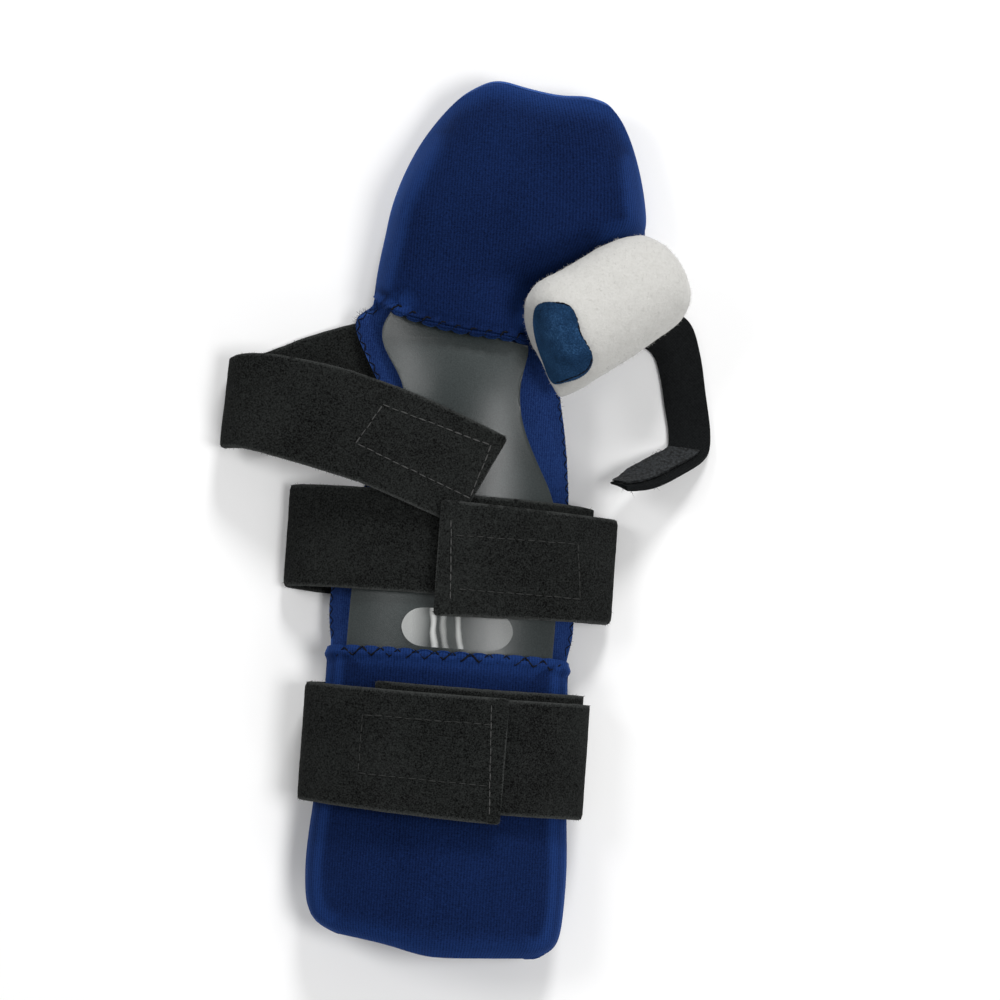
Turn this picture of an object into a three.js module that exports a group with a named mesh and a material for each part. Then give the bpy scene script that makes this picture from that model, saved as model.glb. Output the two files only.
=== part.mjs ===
// Resting hand orthosis for a right hand, lying on a surface with its outer side up and its arm side down.
// A stiff moulded shell is held between a full-length neoprene panel and two neoprene pockets. Three wide
// straps wrap the arm, and a narrow strap wraps the thumb, which lies along a soft roll.
// Millimetres: +X towards the thumb, +Y towards the fingertips, +Z up from the surface it lies on.
// The origin is under the middle of the forearm strap, on that surface.
import * as THREE from "three";

// Driving sizes
const GAP = 0.4;
const PANEL_THICK = 3;
const SHELL_THICK = 3;
const POCKET_WALL = 3;
const STRAP_THICK = 2;
const HOOK_THICK = 1;
const LABEL_THICK = 0.5;
const HEM_FROM_ORIGIN = 36;
const PARTING = STRAP_THICK + GAP;
const SEWN_GAP = 0.6;

// Heights above the panel's outer face, measured square to it
const SHELL_BASE = 0.7;
const SHELL_TOP = SHELL_BASE + SHELL_THICK;
const POCKET_CLEAR = 0.9;
const POCKET_TOP = SHELL_TOP + POCKET_CLEAR + POCKET_WALL;
const POCKET_RIM = 2;
const STRAP_CLEAR = 0.6;
const UNDER_PANEL = -(PANEL_THICK + SEWN_GAP + STRAP_THICK / 2);

// The arch of the panel: y along the arm from the forearm hem, crown height, radius across and middle line
const ARCH = [
  { y: -110, crown: 27.5, radius: 68, middle: 2 },
  { y: -60, crown: 27.5, radius: 66, middle: 1.5 },
  { y: 0, crown: 27.5, radius: 60, middle: 0.6 },
  { y: 60, crown: 27.5, radius: 57, middle: 0 },
  { y: 90, crown: 27.2, radius: 54, middle: 0 },
  { y: 104, crown: 25.6, radius: 62, middle: 0.8 },
  { y: 112, crown: 23.8, radius: 74, middle: 2 },
  { y: 120, crown: 21.6, radius: 98, middle: 4 },
  { y: 128, crown: 19.2, radius: 130, middle: 6 },
  { y: 138, crown: 16, radius: 160, middle: 9 },
  { y: 150, crown: 13, radius: 168, middle: 12 },
  { y: 166, crown: 11.5, radius: 170, middle: 15 },
  { y: 182, crown: 13.5, radius: 170, middle: 17 },
  { y: 206, crown: 22, radius: 170, middle: 18 },
];
const ARCH_WIDEST = 0.95;
const SLOPE_STEP = 0.5;

// Edges of the cover, seen from above, with the wing under the thumb roll
const COVER = [
  { y: -109, left: -31, right: 38 },
  { y: -107.3, left: -35.6, right: 42 },
  { y: -104, left: -39.6, right: 45 },
  { y: -99, left: -42.4, right: 46.4 },
  { y: -90, left: -43.8, right: 46.9 },
  { y: -74, left: -44.2, right: 47 },
  { y: -60, left: -43, right: 45.8 },
  { y: -36, left: -41.6, right: 44 },
  { y: -14, left: -41.6, right: 43 },
  { y: -3, left: -41.6, right: 42.4 },
  { y: 5, left: -43, right: 44.8 },
  { y: 13, left: -44.2, right: 45.2 },
  { y: 26, left: -43, right: 43.2 },
  { y: 42, left: -38.8, right: 41.2 },
  { y: 57, left: -34, right: 40 },
  { y: 70, left: -29.8, right: 38.6 },
  { y: 81, left: -27.6, right: 37 },
  { y: 90, left: -28.8, right: 35 },
  { y: 98, left: -33.4, right: 33.4 },
  { y: 105, left: -37.2, right: 35 },
  { y: 111, left: -40.4, right: 42 },
  { y: 116, left: -41.8, right: 48 },
  { y: 119, left: -40.6, right: 51 },
  { y: 121.5, left: -35.8, right: 53 },
  { y: 124, left: -34.8, right: 55 },
  { y: 132, left: -34.4, right: 59 },
  { y: 140, left: -33.6, right: 60.6 },
  { y: 148, left: -32.4, right: 61 },
  { y: 155, left: -31.6, right: 61.2 },
  { y: 164, left: -29.6, right: 60.4 },
  { y: 174, left: -26.4, right: 58.4 },
  { y: 185, left: -21.4, right: 55.2 },
  { y: 195, left: -14.4, right: 50.6 },
  { y: 199.5, left: -10.2, right: 47.2 },
  { y: 202, left: -7, right: 44.2 },
];

// How far both ends run past their straight lines; across goes from 0 at the left to 1
const FOREARM_END = [
  { across: 0, run: 5.2 },
  { across: 0.25, run: 3 },
  { across: 0.45, run: -0.2 },
  { across: 0.6, run: 0 },
  { across: 1, run: 1 },
];
const FINGER_END = [
  { across: 0, run: -1.2 },
  { across: 0.14, run: 2.6 },
  { across: 0.24, run: 3.3 },
  { across: 0.42, run: 1.4 },
  { across: 0.66, run: -0.3 },
  { across: 0.86, run: 0 },
  { across: 1, run: -1.6 },
];
const END_FADE = 34;
const PANEL_ACROSS = 16;

// Edges of the moulded shell, waisted at the wrist
const SHELL = [
  { y: -94, left: -25, right: 30 },
  { y: -92.4, left: -29.6, right: 34 },
  { y: -88, left: -33, right: 36.6 },
  { y: -78, left: -34.4, right: 37.4 },
  { y: -60, left: -34.4, right: 37 },
  { y: -14, left: -34, right: 35.4 },
  { y: 16, left: -34, right: 36.2 },
  { y: 40, left: -32.6, right: 35.6 },
  { y: 52, left: -30.6, right: 33.6 },
  { y: 60, left: -28.2, right: 30.8 },
  { y: 66, left: -25.8, right: 27.6 },
  { y: 72, left: -23.6, right: 24.6 },
  { y: 78, left: -21.6, right: 21.8 },
  { y: 85, left: -20, right: 19.4 },
  { y: 92, left: -20.2, right: 18.4 },
  { y: 98, left: -23, right: 18.6 },
  { y: 104, left: -27, right: 19.8 },
  { y: 108, left: -29, right: 20.8 },
  { y: 110.6, left: -29.6, right: 20.4 },
  { y: 111.2, left: -29.7, right: 14 },
  { y: 114, left: -29.9, right: 11.4 },
  { y: 117.5, left: -28.8, right: 10.4 },
  { y: 120, left: -27.2, right: 9.8 },
  { y: 124, left: -26.8, right: 9.6 },
  { y: 131, left: -26.4, right: 13.4 },
  { y: 140, left: -25.6, right: 31 },
  { y: 150, left: -24.4, right: 46 },
  { y: 158, left: -22.8, right: 50 },
  { y: 170, left: -18.4, right: 48 },
  { y: 182, left: -12, right: 44 },
  { y: 190, left: -5, right: 38.6 },
  { y: 194, left: 2, right: 33 },
  { y: 195.6, left: 7, right: 28 },
];
const SHELL_ACROSS = 10;

// Right edge of the hand pocket, which is cut away along the thumb roll
const HAND_POCKET_RIGHT = [
  { y: 111, right: 21.6 },
  { y: 117, right: 19.6 },
  { y: 123, right: 18.6 },
  { y: 127, right: 20.4 },
  { y: 131, right: 27 },
  { y: 137, right: 37.6 },
  { y: 143, right: 47.4 },
  { y: 148, right: 54.6 },
  { y: 152, right: 58.8 },
  { y: 156, right: 61.2 },
];

// Crown of the hand pocket
const HAND_LID = [
  { y: 110, crown: 33 },
  { y: 125, crown: 35.5 },
  { y: 145, crown: 36 },
  { y: 170, crown: 34 },
  { y: 190, crown: 33 },
  { y: 206, crown: 33 },
];
const HAND_LID_RADIUS = 120;
const HAND_LID_MIDDLE = 10;
const HAND_ROUNDING = 15;
const FOREARM_ROUNDING = 7.6;
const ROUNDING_POWER = 2.2;

// Stations of the pockets: shares of the way from hem to closed end, and shares of the rounded border
const HAND_POCKET_STATIONS = [
  0, 0.05, 0.1, 0.15, 0.2, 0.26, 0.32, 0.38, 0.44, 0.5, 0.58, 0.67, 0.76, 0.84, 0.9, 0.94, 0.97, 0.985, 1,
];
const FOREARM_POCKET_STATIONS = [
  1, 0.992, 0.973, 0.955, 0.93, 0.88, 0.8, 0.7, 0.6, 0.5, 0.4, 0.3, 0.2, 0.13, 0.06, 0,
];
const BORDER_STATIONS = [0.42, 0.68, 1];
const BORDER_START = 0.12;
const POCKET_ACROSS = 8;
const POCKET_USUAL_WIDTH = 80;

// Hem of the hand pocket: lowest at its middle, and it climbs to the left corner
const HAND_HEM_LOW = 111.6;
const HAND_HEM_CLIMB = 10.6;
const HAND_HEM_FLAT_FROM = 12;
const HAND_HEM_REACH = 47;
const HAND_HEM_POWER = 2.1;

// Hem of the forearm pocket: nearly straight, with drooping corners
const FOREARM_HEM_DROOP = 2.2;
const FOREARM_HEM_POWER = 6;

// Thumb roll: plan place of its middle, its direction from above, its tilt and its tapered size
const ROLL = { x: 50.6, y: 126.6, z: 32.4, turn: 32, tilt: 20, length: 58 };
const ROLL_RADIUS_LEFT = 21;
const ROLL_RADIUS_RIGHT = 18.2;
const ROLL_ROUND_LEFT = 11;
const ROLL_ROUND_RIGHT = 13;
const ROLL_BULGE_LEFT = 1;
const ROLL_BULGE_RIGHT = 0.6;
const ROLL_SIDES = 28;
const ROLL_ROUND_STEPS = 5;
const CRADLE_GAP = 0.8;
const CRADLE_BLEND = 0.5;
const CRADLE_FADED = 8 * CRADLE_BLEND;
const CRADLE_SHORTER = 4;
const CRADLE_END_RISE = 0.9;

// Tab on the roll's left end: how far it reaches along the roll, its width round the roll and its turn
const TAB_THICK = 2;
const TAB_WIDTH = 33;
const TAB_REACH = -1;
const TAB_INNER_RADIUS = 1.5;
const TAB_TURN = 10;
const TAB_WIDEST_TURN = 162;
const TAB_ALONG = 12;
const TAB_ACROSS = 10;

// Straps wound round the splint. Each run lies on the near side or the far side, at a layer, from x to x,
// with its low and high edge along the arm at both ends; fold is how far the turn after it reaches in x.
const FOREARM_STRAP = [
  { side: "near", layer: 0, from: -21, to: 38, low: [-55, -55], high: [-12.2, -13], fold: 49.4 },
  { side: "far", layer: 0, from: 36, to: -36, low: [-56, -54], high: [-13.8, -14.4], fold: -46.6 },
  { side: "near", layer: 1, from: -37, to: 38, low: [-55, -57.4], high: [-14.8, -16.2], fold: 51.9 },
  { side: "far", layer: 1, from: 36, to: -36, low: [-57.6, -56], high: [-16.6, -15], fold: -49 },
  { side: "near", layer: 2, from: -37, to: 19.2, low: [-57, -60.2], high: [-14.6, -15.4] },
];
const MIDDLE_STRAP = [
  { side: "far", layer: 0, from: -22, to: 36, low: [18, 19], high: [54, 53.2], fold: 48.8 },
  { side: "near", layer: 0, from: 25, to: -25, low: [20, 20], high: [55.6, 56.4], fold: -60.4 },
  { side: "far", layer: 1, from: -36, to: 36, low: [17, 13.6], high: [54, 51.6], fold: 57.6 },
  { side: "near", layer: 1, from: 24, to: -4.6, low: [13, 12.3], high: [52.4, 53.6], rise: [2, 4.5] },
];
const RUN_STEPS = 9;
const FAR_STEPS = 4;
const FOLD_STEPS = 7;
const BAND_ACROSS = 3;
const HEADING = 0.02;

// Wrist strap: its high and low edges from the sewn end under the panel, round the hairpin, to the cut end
const WRIST_STRAP = [
  { high: [-18, 123.6], low: [-5.2, 90.2], sewn: true },
  { high: [-27, 120.2], low: [-14.2, 86.8], sewn: true },
  { high: [-42.4, 115.8, 4.6], low: [-29.6, 81, 10.6] },
  { high: [-60.6, 109.4, 1.4], low: [-47.7, 74, 2.4] },
  { high: [-71, 104.6, 1], low: [-62, 70.6, 1] },
  { high: [-80, 101, 2.2], low: [-77, 68.4, 2.2] },
  { high: [-85.4, 99.6, 9], low: [-86.6, 67.4, 9] },
  { high: [-81, 101.4, 17.4], low: [-83, 67.8, 17.4] },
  { high: [-72, 102, 22], low: [-74, 66.8, 22] },
  { high: [-60, 100.8, 25.6], low: [-62, 64.2, 25.6] },
  { high: [-44, 98.3, 28], low: [-48, 61, 28] },
  { high: [-29, 94.3, 30.6], low: [-34, 57.4, 31] },
  { high: [-14, 89.6, 33.4], low: [-21, 52.8, 33.8] },
  { high: [1, 83.8, 35.2], low: [-9, 48.3, 35.8] },
  { high: [16.6, 77.2, 35.2], low: [0.5, 44.8, 36.6] },
];
const WRIST_STRAP_STEPS = 56;

// Thumb strap: its inner and outer edges from under the wing to the curled tip
const THUMB_STRAP = [
  { inner: [46, 124], outer: [55.4, 136.8], sewn: true },
  { inner: [51, 121.4], outer: [60.6, 134], sewn: true },
  { inner: [60.4, 116.4, 2.4], outer: [72.2, 129.6, 1] },
  { inner: [67, 112.6, 1], outer: [79.8, 125, 1] },
  { inner: [70.2, 105, 1], outer: [84.2, 114, 1] },
  { inner: [72.2, 96, 1], outer: [87.2, 99.6, 1] },
  { inner: [74.8, 83.6, 1], outer: [90, 84.6, 1] },
  { inner: [74.4, 78.4, 2.4], outer: [89.4, 77.4, 3.4] },
  { inner: [67.4, 73.4, 6.4], outer: [80.4, 70, 12] },
  { inner: [60.6, 68.6, 9.6], outer: [69.8, 64, 20] },
  { inner: [54.4, 64.2, 12], outer: [60.2, 62.2, 25.4] },
];
const THUMB_STRAP_STEPS = 36;
const HOOK_STARTS = 0.7;
const HOOK_ENDS = 0.985;
const HOOK_INNER_MARGIN = 0.04;
const HOOK_OUTER_MARGIN = 0.2;
const HOOK_STEPS = 14;

// Clear label on the shell
const LABEL = { x: 3, y: 8, length: 37, width: 14 };
const LABEL_BLUNT = 0.4;
const LABEL_ALONG = 16;
const LABEL_ACROSS = 4;

const rad = THREE.MathUtils.degToRad;
const lerp = THREE.MathUtils.lerp;
const clamp = THREE.MathUtils.clamp;

// A smooth line through one column of a table, read at a value of its key column
function column(table, key, name) {
  const slope = table.map((row, i) => {
    const before = table[Math.max(i - 1, 0)];
    const after = table[Math.min(i + 1, table.length - 1)];
    return (after[name] - before[name]) / (after[key] - before[key]);
  });
  return (at) => {
    const a = clamp(at, table[0][key], table[table.length - 1][key]);
    let i = 0;
    while (i < table.length - 2 && a > table[i + 1][key]) i += 1;
    const span = table[i + 1][key] - table[i][key];
    const t = (a - table[i][key]) / span;
    const rise = table[i + 1][name] - table[i][name];
    const bend = (1 - t) * (slope[i] * span - rise) + t * (rise - slope[i + 1] * span);
    return table[i][name] + t * rise + t * (1 - t) * bend;
  };
}

const archCrown = column(ARCH, "y", "crown");
const archRadius = column(ARCH, "y", "radius");
const archMiddle = column(ARCH, "y", "middle");
const coverLeft = column(COVER, "y", "left");
const coverRight = column(COVER, "y", "right");
const shellLeft = column(SHELL, "y", "left");
const shellRight = column(SHELL, "y", "right");
const handRight = column(HAND_POCKET_RIGHT, "y", "right");
const handCrown = column(HAND_LID, "y", "crown");
const forearmEnd = column(FOREARM_END, "across", "run");
const fingerEnd = column(FINGER_END, "across", "run");

// The roll's frame: along its axis from left to right, and the plan direction square to it
const rollAlong = new THREE.Vector2(Math.cos(rad(ROLL.turn)), Math.sin(rad(ROLL.turn)));
const rollAside = new THREE.Vector2(-rollAlong.y, rollAlong.x);

// The underside of the roll over a point of the plan, with the gap that the panel keeps to it
function rollUnderside(x, y) {
  const place = new THREE.Vector2(x - ROLL.x, y - ROLL.y);
  const along = place.dot(rollAlong);
  const aside = place.dot(rollAside);
  const reach = ROLL.length / 2 - CRADLE_SHORTER;
  const share = clamp(along / ROLL.length + 0.5, 0, 1);
  const radius = lerp(ROLL_RADIUS_LEFT, ROLL_RADIUS_RIGHT, share) + CRADLE_GAP;
  if (Math.abs(aside) >= radius) return Infinity;
  const past = Math.max(0, Math.abs(along) - reach);
  const middle = ROLL.z - along * Math.tan(rad(ROLL.tilt));
  const drop = Math.sqrt(radius * radius - aside * aside) / Math.cos(rad(ROLL.tilt));
  return middle - drop + past * CRADLE_END_RISE;
}

// Height of the panel's outer face: an arch across the arm, dished where the roll lies on it
function panelHeight(x, y) {
  const radius = archRadius(y);
  const off = clamp(x - archMiddle(y), -ARCH_WIDEST * radius, ARCH_WIDEST * radius);
  const arch = archCrown(y) - radius + Math.sqrt(radius * radius - off * off);
  const roll = rollUnderside(x, y);
  if (roll - arch > CRADLE_FADED) return arch;
  const lower = Math.min(arch, roll);
  return lower - CRADLE_BLEND * Math.log1p(Math.exp(-Math.abs(arch - roll) / CRADLE_BLEND));
}

// The point at a height over the panel's outer face, square to it
function over(x, y, height) {
  const step = SLOPE_STEP;
  const slopeX = (panelHeight(x + step, y) - panelHeight(x - step, y)) / (2 * step);
  const slopeY = (panelHeight(x, y + step) - panelHeight(x, y - step)) / (2 * step);
  const normal = new THREE.Vector3(-slopeX, -slopeY, 1).normalize();
  return new THREE.Vector3(x, y, panelHeight(x, y)).addScaledVector(normal, height);
}

// A closed wall between two grids of points, below(u, v) and above(u, v), at the given stations
function wall(us, vs, below, above) {
  const across = vs.length;
  const count = us.length * across;
  const points = [];
  for (const place of [above, below]) {
    for (const u of us) for (const v of vs) points.push(...place(u, v).toArray());
  }
  const index = [];
  const quad = (a, b, c, d) => index.push(a, b, c, a, c, d);
  const top = (i, j) => i * across + j;
  const base = (i, j) => count + i * across + j;
  for (let i = 0; i < us.length - 1; i += 1) {
    for (let j = 0; j < across - 1; j += 1) {
      quad(top(i, j), top(i, j + 1), top(i + 1, j + 1), top(i + 1, j));
      quad(base(i, j), base(i + 1, j), base(i + 1, j + 1), base(i, j + 1));
    }
    quad(top(i, 0), top(i + 1, 0), base(i + 1, 0), base(i, 0));
    quad(top(i + 1, across - 1), top(i, across - 1), base(i, across - 1), base(i + 1, across - 1));
  }
  for (let j = 0; j < across - 1; j += 1) {
    quad(top(0, j + 1), top(0, j), base(0, j), base(0, j + 1));
    const last = us.length - 1;
    quad(top(last, j), top(last, j + 1), base(last, j + 1), base(last, j));
  }
  const geometry = new THREE.BufferGeometry();
  geometry.setAttribute("position", new THREE.Float32BufferAttribute(points, 3));
  geometry.setIndex(index);
  geometry.computeVertexNormals();
  return geometry;
}

const even = (steps) => Array.from({ length: steps + 1 }, (_, i) => i / steps);

// Plan point of the cover at a line y along the arm and a share across, with both ends curved
function coverPoint(y, across, left, right) {
  const nearForearm = clamp(1 - (y - COVER[0].y) / END_FADE, 0, 1);
  const nearFingers = clamp(1 - (COVER[COVER.length - 1].y - y) / END_FADE, 0, 1);
  const bow = forearmEnd(across) * nearForearm + fingerEnd(across) * nearFingers;
  return new THREE.Vector2(lerp(left(y), right(y), across), y + bow);
}

// Full-length panel on the arm side
function makeBackPanel() {
  const lines = COVER.map((row) => row.y);
  const place = (height) => (y, across) => {
    const plan = coverPoint(y, across, coverLeft, coverRight);
    return over(plan.x, plan.y, height);
  };
  return wall(lines, even(PANEL_ACROSS), place(-PANEL_THICK), place(0));
}

// Moulded shell, waisted at the wrist
function makeShell() {
  const lines = SHELL.map((row) => row.y);
  const place = (height) => (y, across) => over(lerp(shellLeft(y), shellRight(y), across), y, height);
  return wall(lines, even(SHELL_ACROSS), place(SHELL_BASE), place(SHELL_TOP));
}

// How far a pocket has risen at a distance from its sewn edge
function rounding(distance, width) {
  const short = clamp(1 - distance / width, 0, 1);
  return 1 - Math.pow(short, ROUNDING_POWER);
}

// Shares across a pocket, closer together in its rounded borders
function pocketShares(border) {
  const stations = [0, BORDER_START, POCKET_WALL / border, ...BORDER_STATIONS];
  const edge = stations.map((share) => (share * border) / POCKET_USUAL_WIDTH);
  const rounded = edge.slice(0, -1);
  const flat = edge[edge.length - 1];
  const inner = even(POCKET_ACROSS).map((share) => lerp(flat, 1 - flat, share));
  return [...rounded, ...inner, ...rounded.reverse().map((share) => 1 - share)];
}

// A pocket wall: sewn to the panel along its sides and its closed end, open at its hem.
// hem(x) is the open end, close the line of the closed end, crown(plan) the height of its outer face.
function makePocket({ left, right, hem, close, crown, border, stations }) {
  const shares = pocketShares(border);
  const height = (inset) => (u, v) => {
    const straight = lerp(hem(lerp(left(hem(0)), right(hem(0)), v)), close, u);
    const plan = coverPoint(straight, v, left, right);
    const slope = (edge) => (edge(plan.y + SLOPE_STEP) - edge(plan.y - SLOPE_STEP)) / (2 * SLOPE_STEP);
    const tilt = (edge) => 1 / Math.hypot(1, slope(edge));
    const span = right(straight) - left(straight);
    const fromLeft = v * span * tilt(left) - inset;
    const fromRight = (1 - v) * span * tilt(right) - inset;
    const fromEnd = Math.abs(close - straight) - inset;
    const risen = [fromLeft, fromRight, fromEnd]
      .map((distance) => rounding(Math.max(distance, 0), border - inset))
      .reduce((all, one) => all * one, 1);
    const rim = inset > 0 ? GAP : GAP + POCKET_RIM;
    return over(plan.x, plan.y, lerp(rim, crown(plan) - inset, risen));
  };
  return wall(stations, shares, height(POCKET_WALL), height(0));
}

// Domed pocket over the fingers
function makeHandPocket() {
  const close = COVER[COVER.length - 1].y;
  const cutAway = HAND_POCKET_RIGHT[HAND_POCKET_RIGHT.length - 1].y;
  const right = (y) => (y < cutAway ? handRight(y) : coverRight(y));
  const hem = (x) => {
    const climb = Math.max(HAND_HEM_FLAT_FROM - x, 0) / HAND_HEM_REACH;
    return HAND_HEM_LOW + HAND_HEM_CLIMB * Math.pow(climb, HAND_HEM_POWER);
  };
  const crown = (plan) => {
    const off = plan.x - HAND_LID_MIDDLE;
    return handCrown(plan.y) - (off * off) / (2 * HAND_LID_RADIUS) - panelHeight(plan.x, plan.y);
  };
  return makePocket({
    left: coverLeft,
    right,
    hem,
    close,
    crown,
    border: HAND_ROUNDING,
    stations: HAND_POCKET_STATIONS,
  });
}

// Pocket over the forearm end of the shell
function makeForearmPocket() {
  const hem = (x) => -FOREARM_HEM_DROOP * Math.pow(Math.abs(x) / coverRight(0), FOREARM_HEM_POWER);
  return makePocket({
    left: coverLeft,
    right: coverRight,
    hem,
    close: COVER[0].y,
    crown: () => POCKET_TOP,
    border: FOREARM_ROUNDING,
    stations: FOREARM_POCKET_STATIONS,
  });
}

// A ribbon between two edges sampled alike, with its thickness square to it
function ribbon(lowEdge, highEdge, thick, lift = 0) {
  const last = lowEdge.length - 1;
  const middle = (i) => lowEdge[i].clone().lerp(highEdge[i], 0.5);
  const normals = lowEdge.map((low, i) => {
    const along = middle(Math.min(i + 1, last)).sub(middle(Math.max(i - 1, 0)));
    return highEdge[i].clone().sub(low).cross(along).normalize();
  });
  const place = (offset) => (i, v) => {
    const point = lowEdge[i].clone().lerp(highEdge[i], v);
    return point.addScaledVector(normals[i], offset);
  };
  const stations = lowEdge.map((_, i) => i);
  const shares = even(BAND_ACROSS).reverse();
  return wall(stations, shares, place(lift + thick / 2), place(lift - thick / 2));
}

// One edge of a strap that winds round the splint
function windingEdge(runs, nearBase, edge) {
  const at = (run, share) => {
    const x = lerp(run.from, run.to, share);
    const y = lerp(run[edge][0], run[edge][1], share);
    if (run.side === "far") {
      return new THREE.Vector3(x, y, STRAP_THICK / 2 + (1 - run.layer) * PARTING);
    }
    const rise = run.rise ? lerp(run.rise[0], run.rise[1], share) : 0;
    return over(x, y, nearBase + STRAP_THICK / 2 + run.layer * PARTING + rise);
  };
  const points = [];
  runs.forEach((run, i) => {
    const steps = run.side === "far" ? FAR_STEPS : RUN_STEPS;
    for (const share of even(steps)) points.push(at(run, share));
    const next = runs[i + 1];
    if (!next) return;
    const start = at(run, 1);
    const end = at(next, 0);
    const out = start.clone().sub(at(run, 1 - HEADING));
    const back = end.clone().sub(at(next, HEADING));
    // The middle of the turn is an eighth of each end and three eighths of each pull
    const reach = (8 * run.fold - start.x - end.x) / 6;
    const pull = (from, way) => from.clone().addScaledVector(way, (reach - from.x) / way.x);
    const turn = new THREE.CubicBezierCurve3(start, pull(start, out), pull(end, back), end);
    points.push(...turn.getPoints(FOLD_STEPS).slice(1, -1));
  });
  return points;
}

function makeWindingStrap(runs, nearBase) {
  const low = windingEdge(runs, nearBase, "low");
  const high = windingEdge(runs, nearBase, "high");
  return runs[0].side === "near" ? ribbon(low, high, STRAP_THICK) : ribbon(high, low, STRAP_THICK);
}

// Points along one edge of a strap that is laid by hand: sewn under the panel, then free above the surface
function laidEdge(table, edge, shares) {
  const points = table.map((row) => {
    const [x, y, z] = row[edge];
    return row.sewn ? over(x, y, UNDER_PANEL) : new THREE.Vector3(x, y, z);
  });
  const line = new THREE.CatmullRomCurve3(points, false, "centripetal");
  return shares.map((share) => {
    const point = line.getPoint(share);
    return point.setZ(Math.max(point.z, STRAP_THICK / 2));
  });
}

function makeWristStrap() {
  const shares = even(WRIST_STRAP_STEPS);
  const low = laidEdge(WRIST_STRAP, "low", shares);
  const high = laidEdge(WRIST_STRAP, "high", shares);
  return ribbon(low, high, STRAP_THICK);
}

function makeThumbStrap() {
  const shares = even(THUMB_STRAP_STEPS);
  const inner = laidEdge(THUMB_STRAP, "inner", shares);
  const outer = laidEdge(THUMB_STRAP, "outer", shares);
  return ribbon(inner, outer, STRAP_THICK);
}

// Hook patch on the free end of the thumb strap
function makeThumbStrapHook() {
  const shares = even(HOOK_STEPS).map((share) => lerp(HOOK_STARTS, HOOK_ENDS, share));
  const inner = laidEdge(THUMB_STRAP, "inner", shares);
  const outer = laidEdge(THUMB_STRAP, "outer", shares);
  const low = inner.map((point, i) => point.clone().lerp(outer[i], HOOK_INNER_MARGIN));
  const high = outer.map((point, i) => point.clone().lerp(inner[i], HOOK_OUTER_MARGIN));
  return ribbon(low, high, HOOK_THICK, -(STRAP_THICK / 2 + GAP + HOOK_THICK / 2));
}

// Half section of the roll, from the middle of its left end to the middle of its right end
function rollProfile() {
  const half = ROLL.length / 2;
  const points = [];
  for (const share of even(ROLL_ROUND_STEPS)) {
    const angle = share * (Math.PI / 2);
    const radius = ROLL_RADIUS_LEFT - ROLL_ROUND_LEFT + ROLL_ROUND_LEFT * Math.sin(angle);
    points.push(new THREE.Vector2(radius, -half + ROLL_ROUND_LEFT * (1 - Math.cos(angle))));
  }
  for (const share of even(ROLL_ROUND_STEPS)) {
    const angle = (1 - share) * (Math.PI / 2);
    const radius = ROLL_RADIUS_RIGHT - ROLL_ROUND_RIGHT + ROLL_ROUND_RIGHT * Math.sin(angle);
    points.push(new THREE.Vector2(radius, half - ROLL_ROUND_RIGHT * (1 - Math.cos(angle))));
  }
  return points;
}

function makeRoll() {
  const half = ROLL.length / 2;
  const leftEnd = new THREE.Vector2(0, -half - ROLL_BULGE_LEFT);
  const rightEnd = new THREE.Vector2(0, half + ROLL_BULGE_RIGHT);
  return new THREE.LatheGeometry([leftEnd, ...rollProfile(), rightEnd], ROLL_SIDES);
}

// Tab lapped over the left end of the roll, a strip of even width that follows the roll's section
function makeRollTab() {
  const shoulder = rollProfile().slice(0, ROLL_ROUND_STEPS + 1);
  const edge = shoulder[ROLL_ROUND_STEPS];
  const line = new THREE.SplineCurve([
    new THREE.Vector2(TAB_INNER_RADIUS, -ROLL.length / 2 - ROLL_BULGE_LEFT),
    ...shoulder.slice(0, -1),
    new THREE.Vector2(edge.x, edge.y + TAB_REACH),
  ]);
  const place = (offset) => (u, v) => {
    const point = line.getPoint(u);
    const along = line.getTangent(u);
    const radius = point.x + offset * along.y;
    const height = point.y - offset * along.x;
    const turn = rad(TAB_TURN) + (v - 0.5) * Math.min(TAB_WIDTH / point.x, rad(TAB_WIDEST_TURN));
    return new THREE.Vector3(radius * Math.sin(turn), height, radius * Math.cos(turn));
  };
  return wall(even(TAB_ALONG), even(TAB_ACROSS), place(GAP), place(GAP + TAB_THICK));
}

// Lozenge with round ends lying on the shell
function makeLabel() {
  const half = LABEL.length / 2;
  const round = LABEL.width / 2;
  const place = (height) => (u, v) => {
    const x = -half * Math.cos(u * Math.PI);
    const past = Math.max(Math.abs(x) - (half - round), 0);
    const wide = Math.sqrt(Math.max(round * round - past * past, LABEL_BLUNT));
    return over(LABEL.x + x, LABEL.y + (1 - 2 * v) * -wide, height);
  };
  const base = SHELL_TOP + GAP;
  return wall(even(LABEL_ALONG).reverse(), even(LABEL_ACROSS), place(base), place(base + LABEL_THICK));
}

function material(color, roughness, metalness = 0) {
  return new THREE.MeshStandardMaterial({ color, roughness, metalness });
}

const neoprene = material(0x132243, 0.95);
const neopreneBack = material(0x1b2f5a, 0.95);
const mouldedGrey = material(0x565b5b, 0.55);
const loopPile = material(0x212322, 0.98);
const webbing = material(0x161819, 0.9);
const hook = material(0x2e3032, 0.85);
const fleece = material(0xd1d0ce, 1);
const velour = material(0x203753, 0.95);
const film = material(0xb4b8b8, 0.12);

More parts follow.
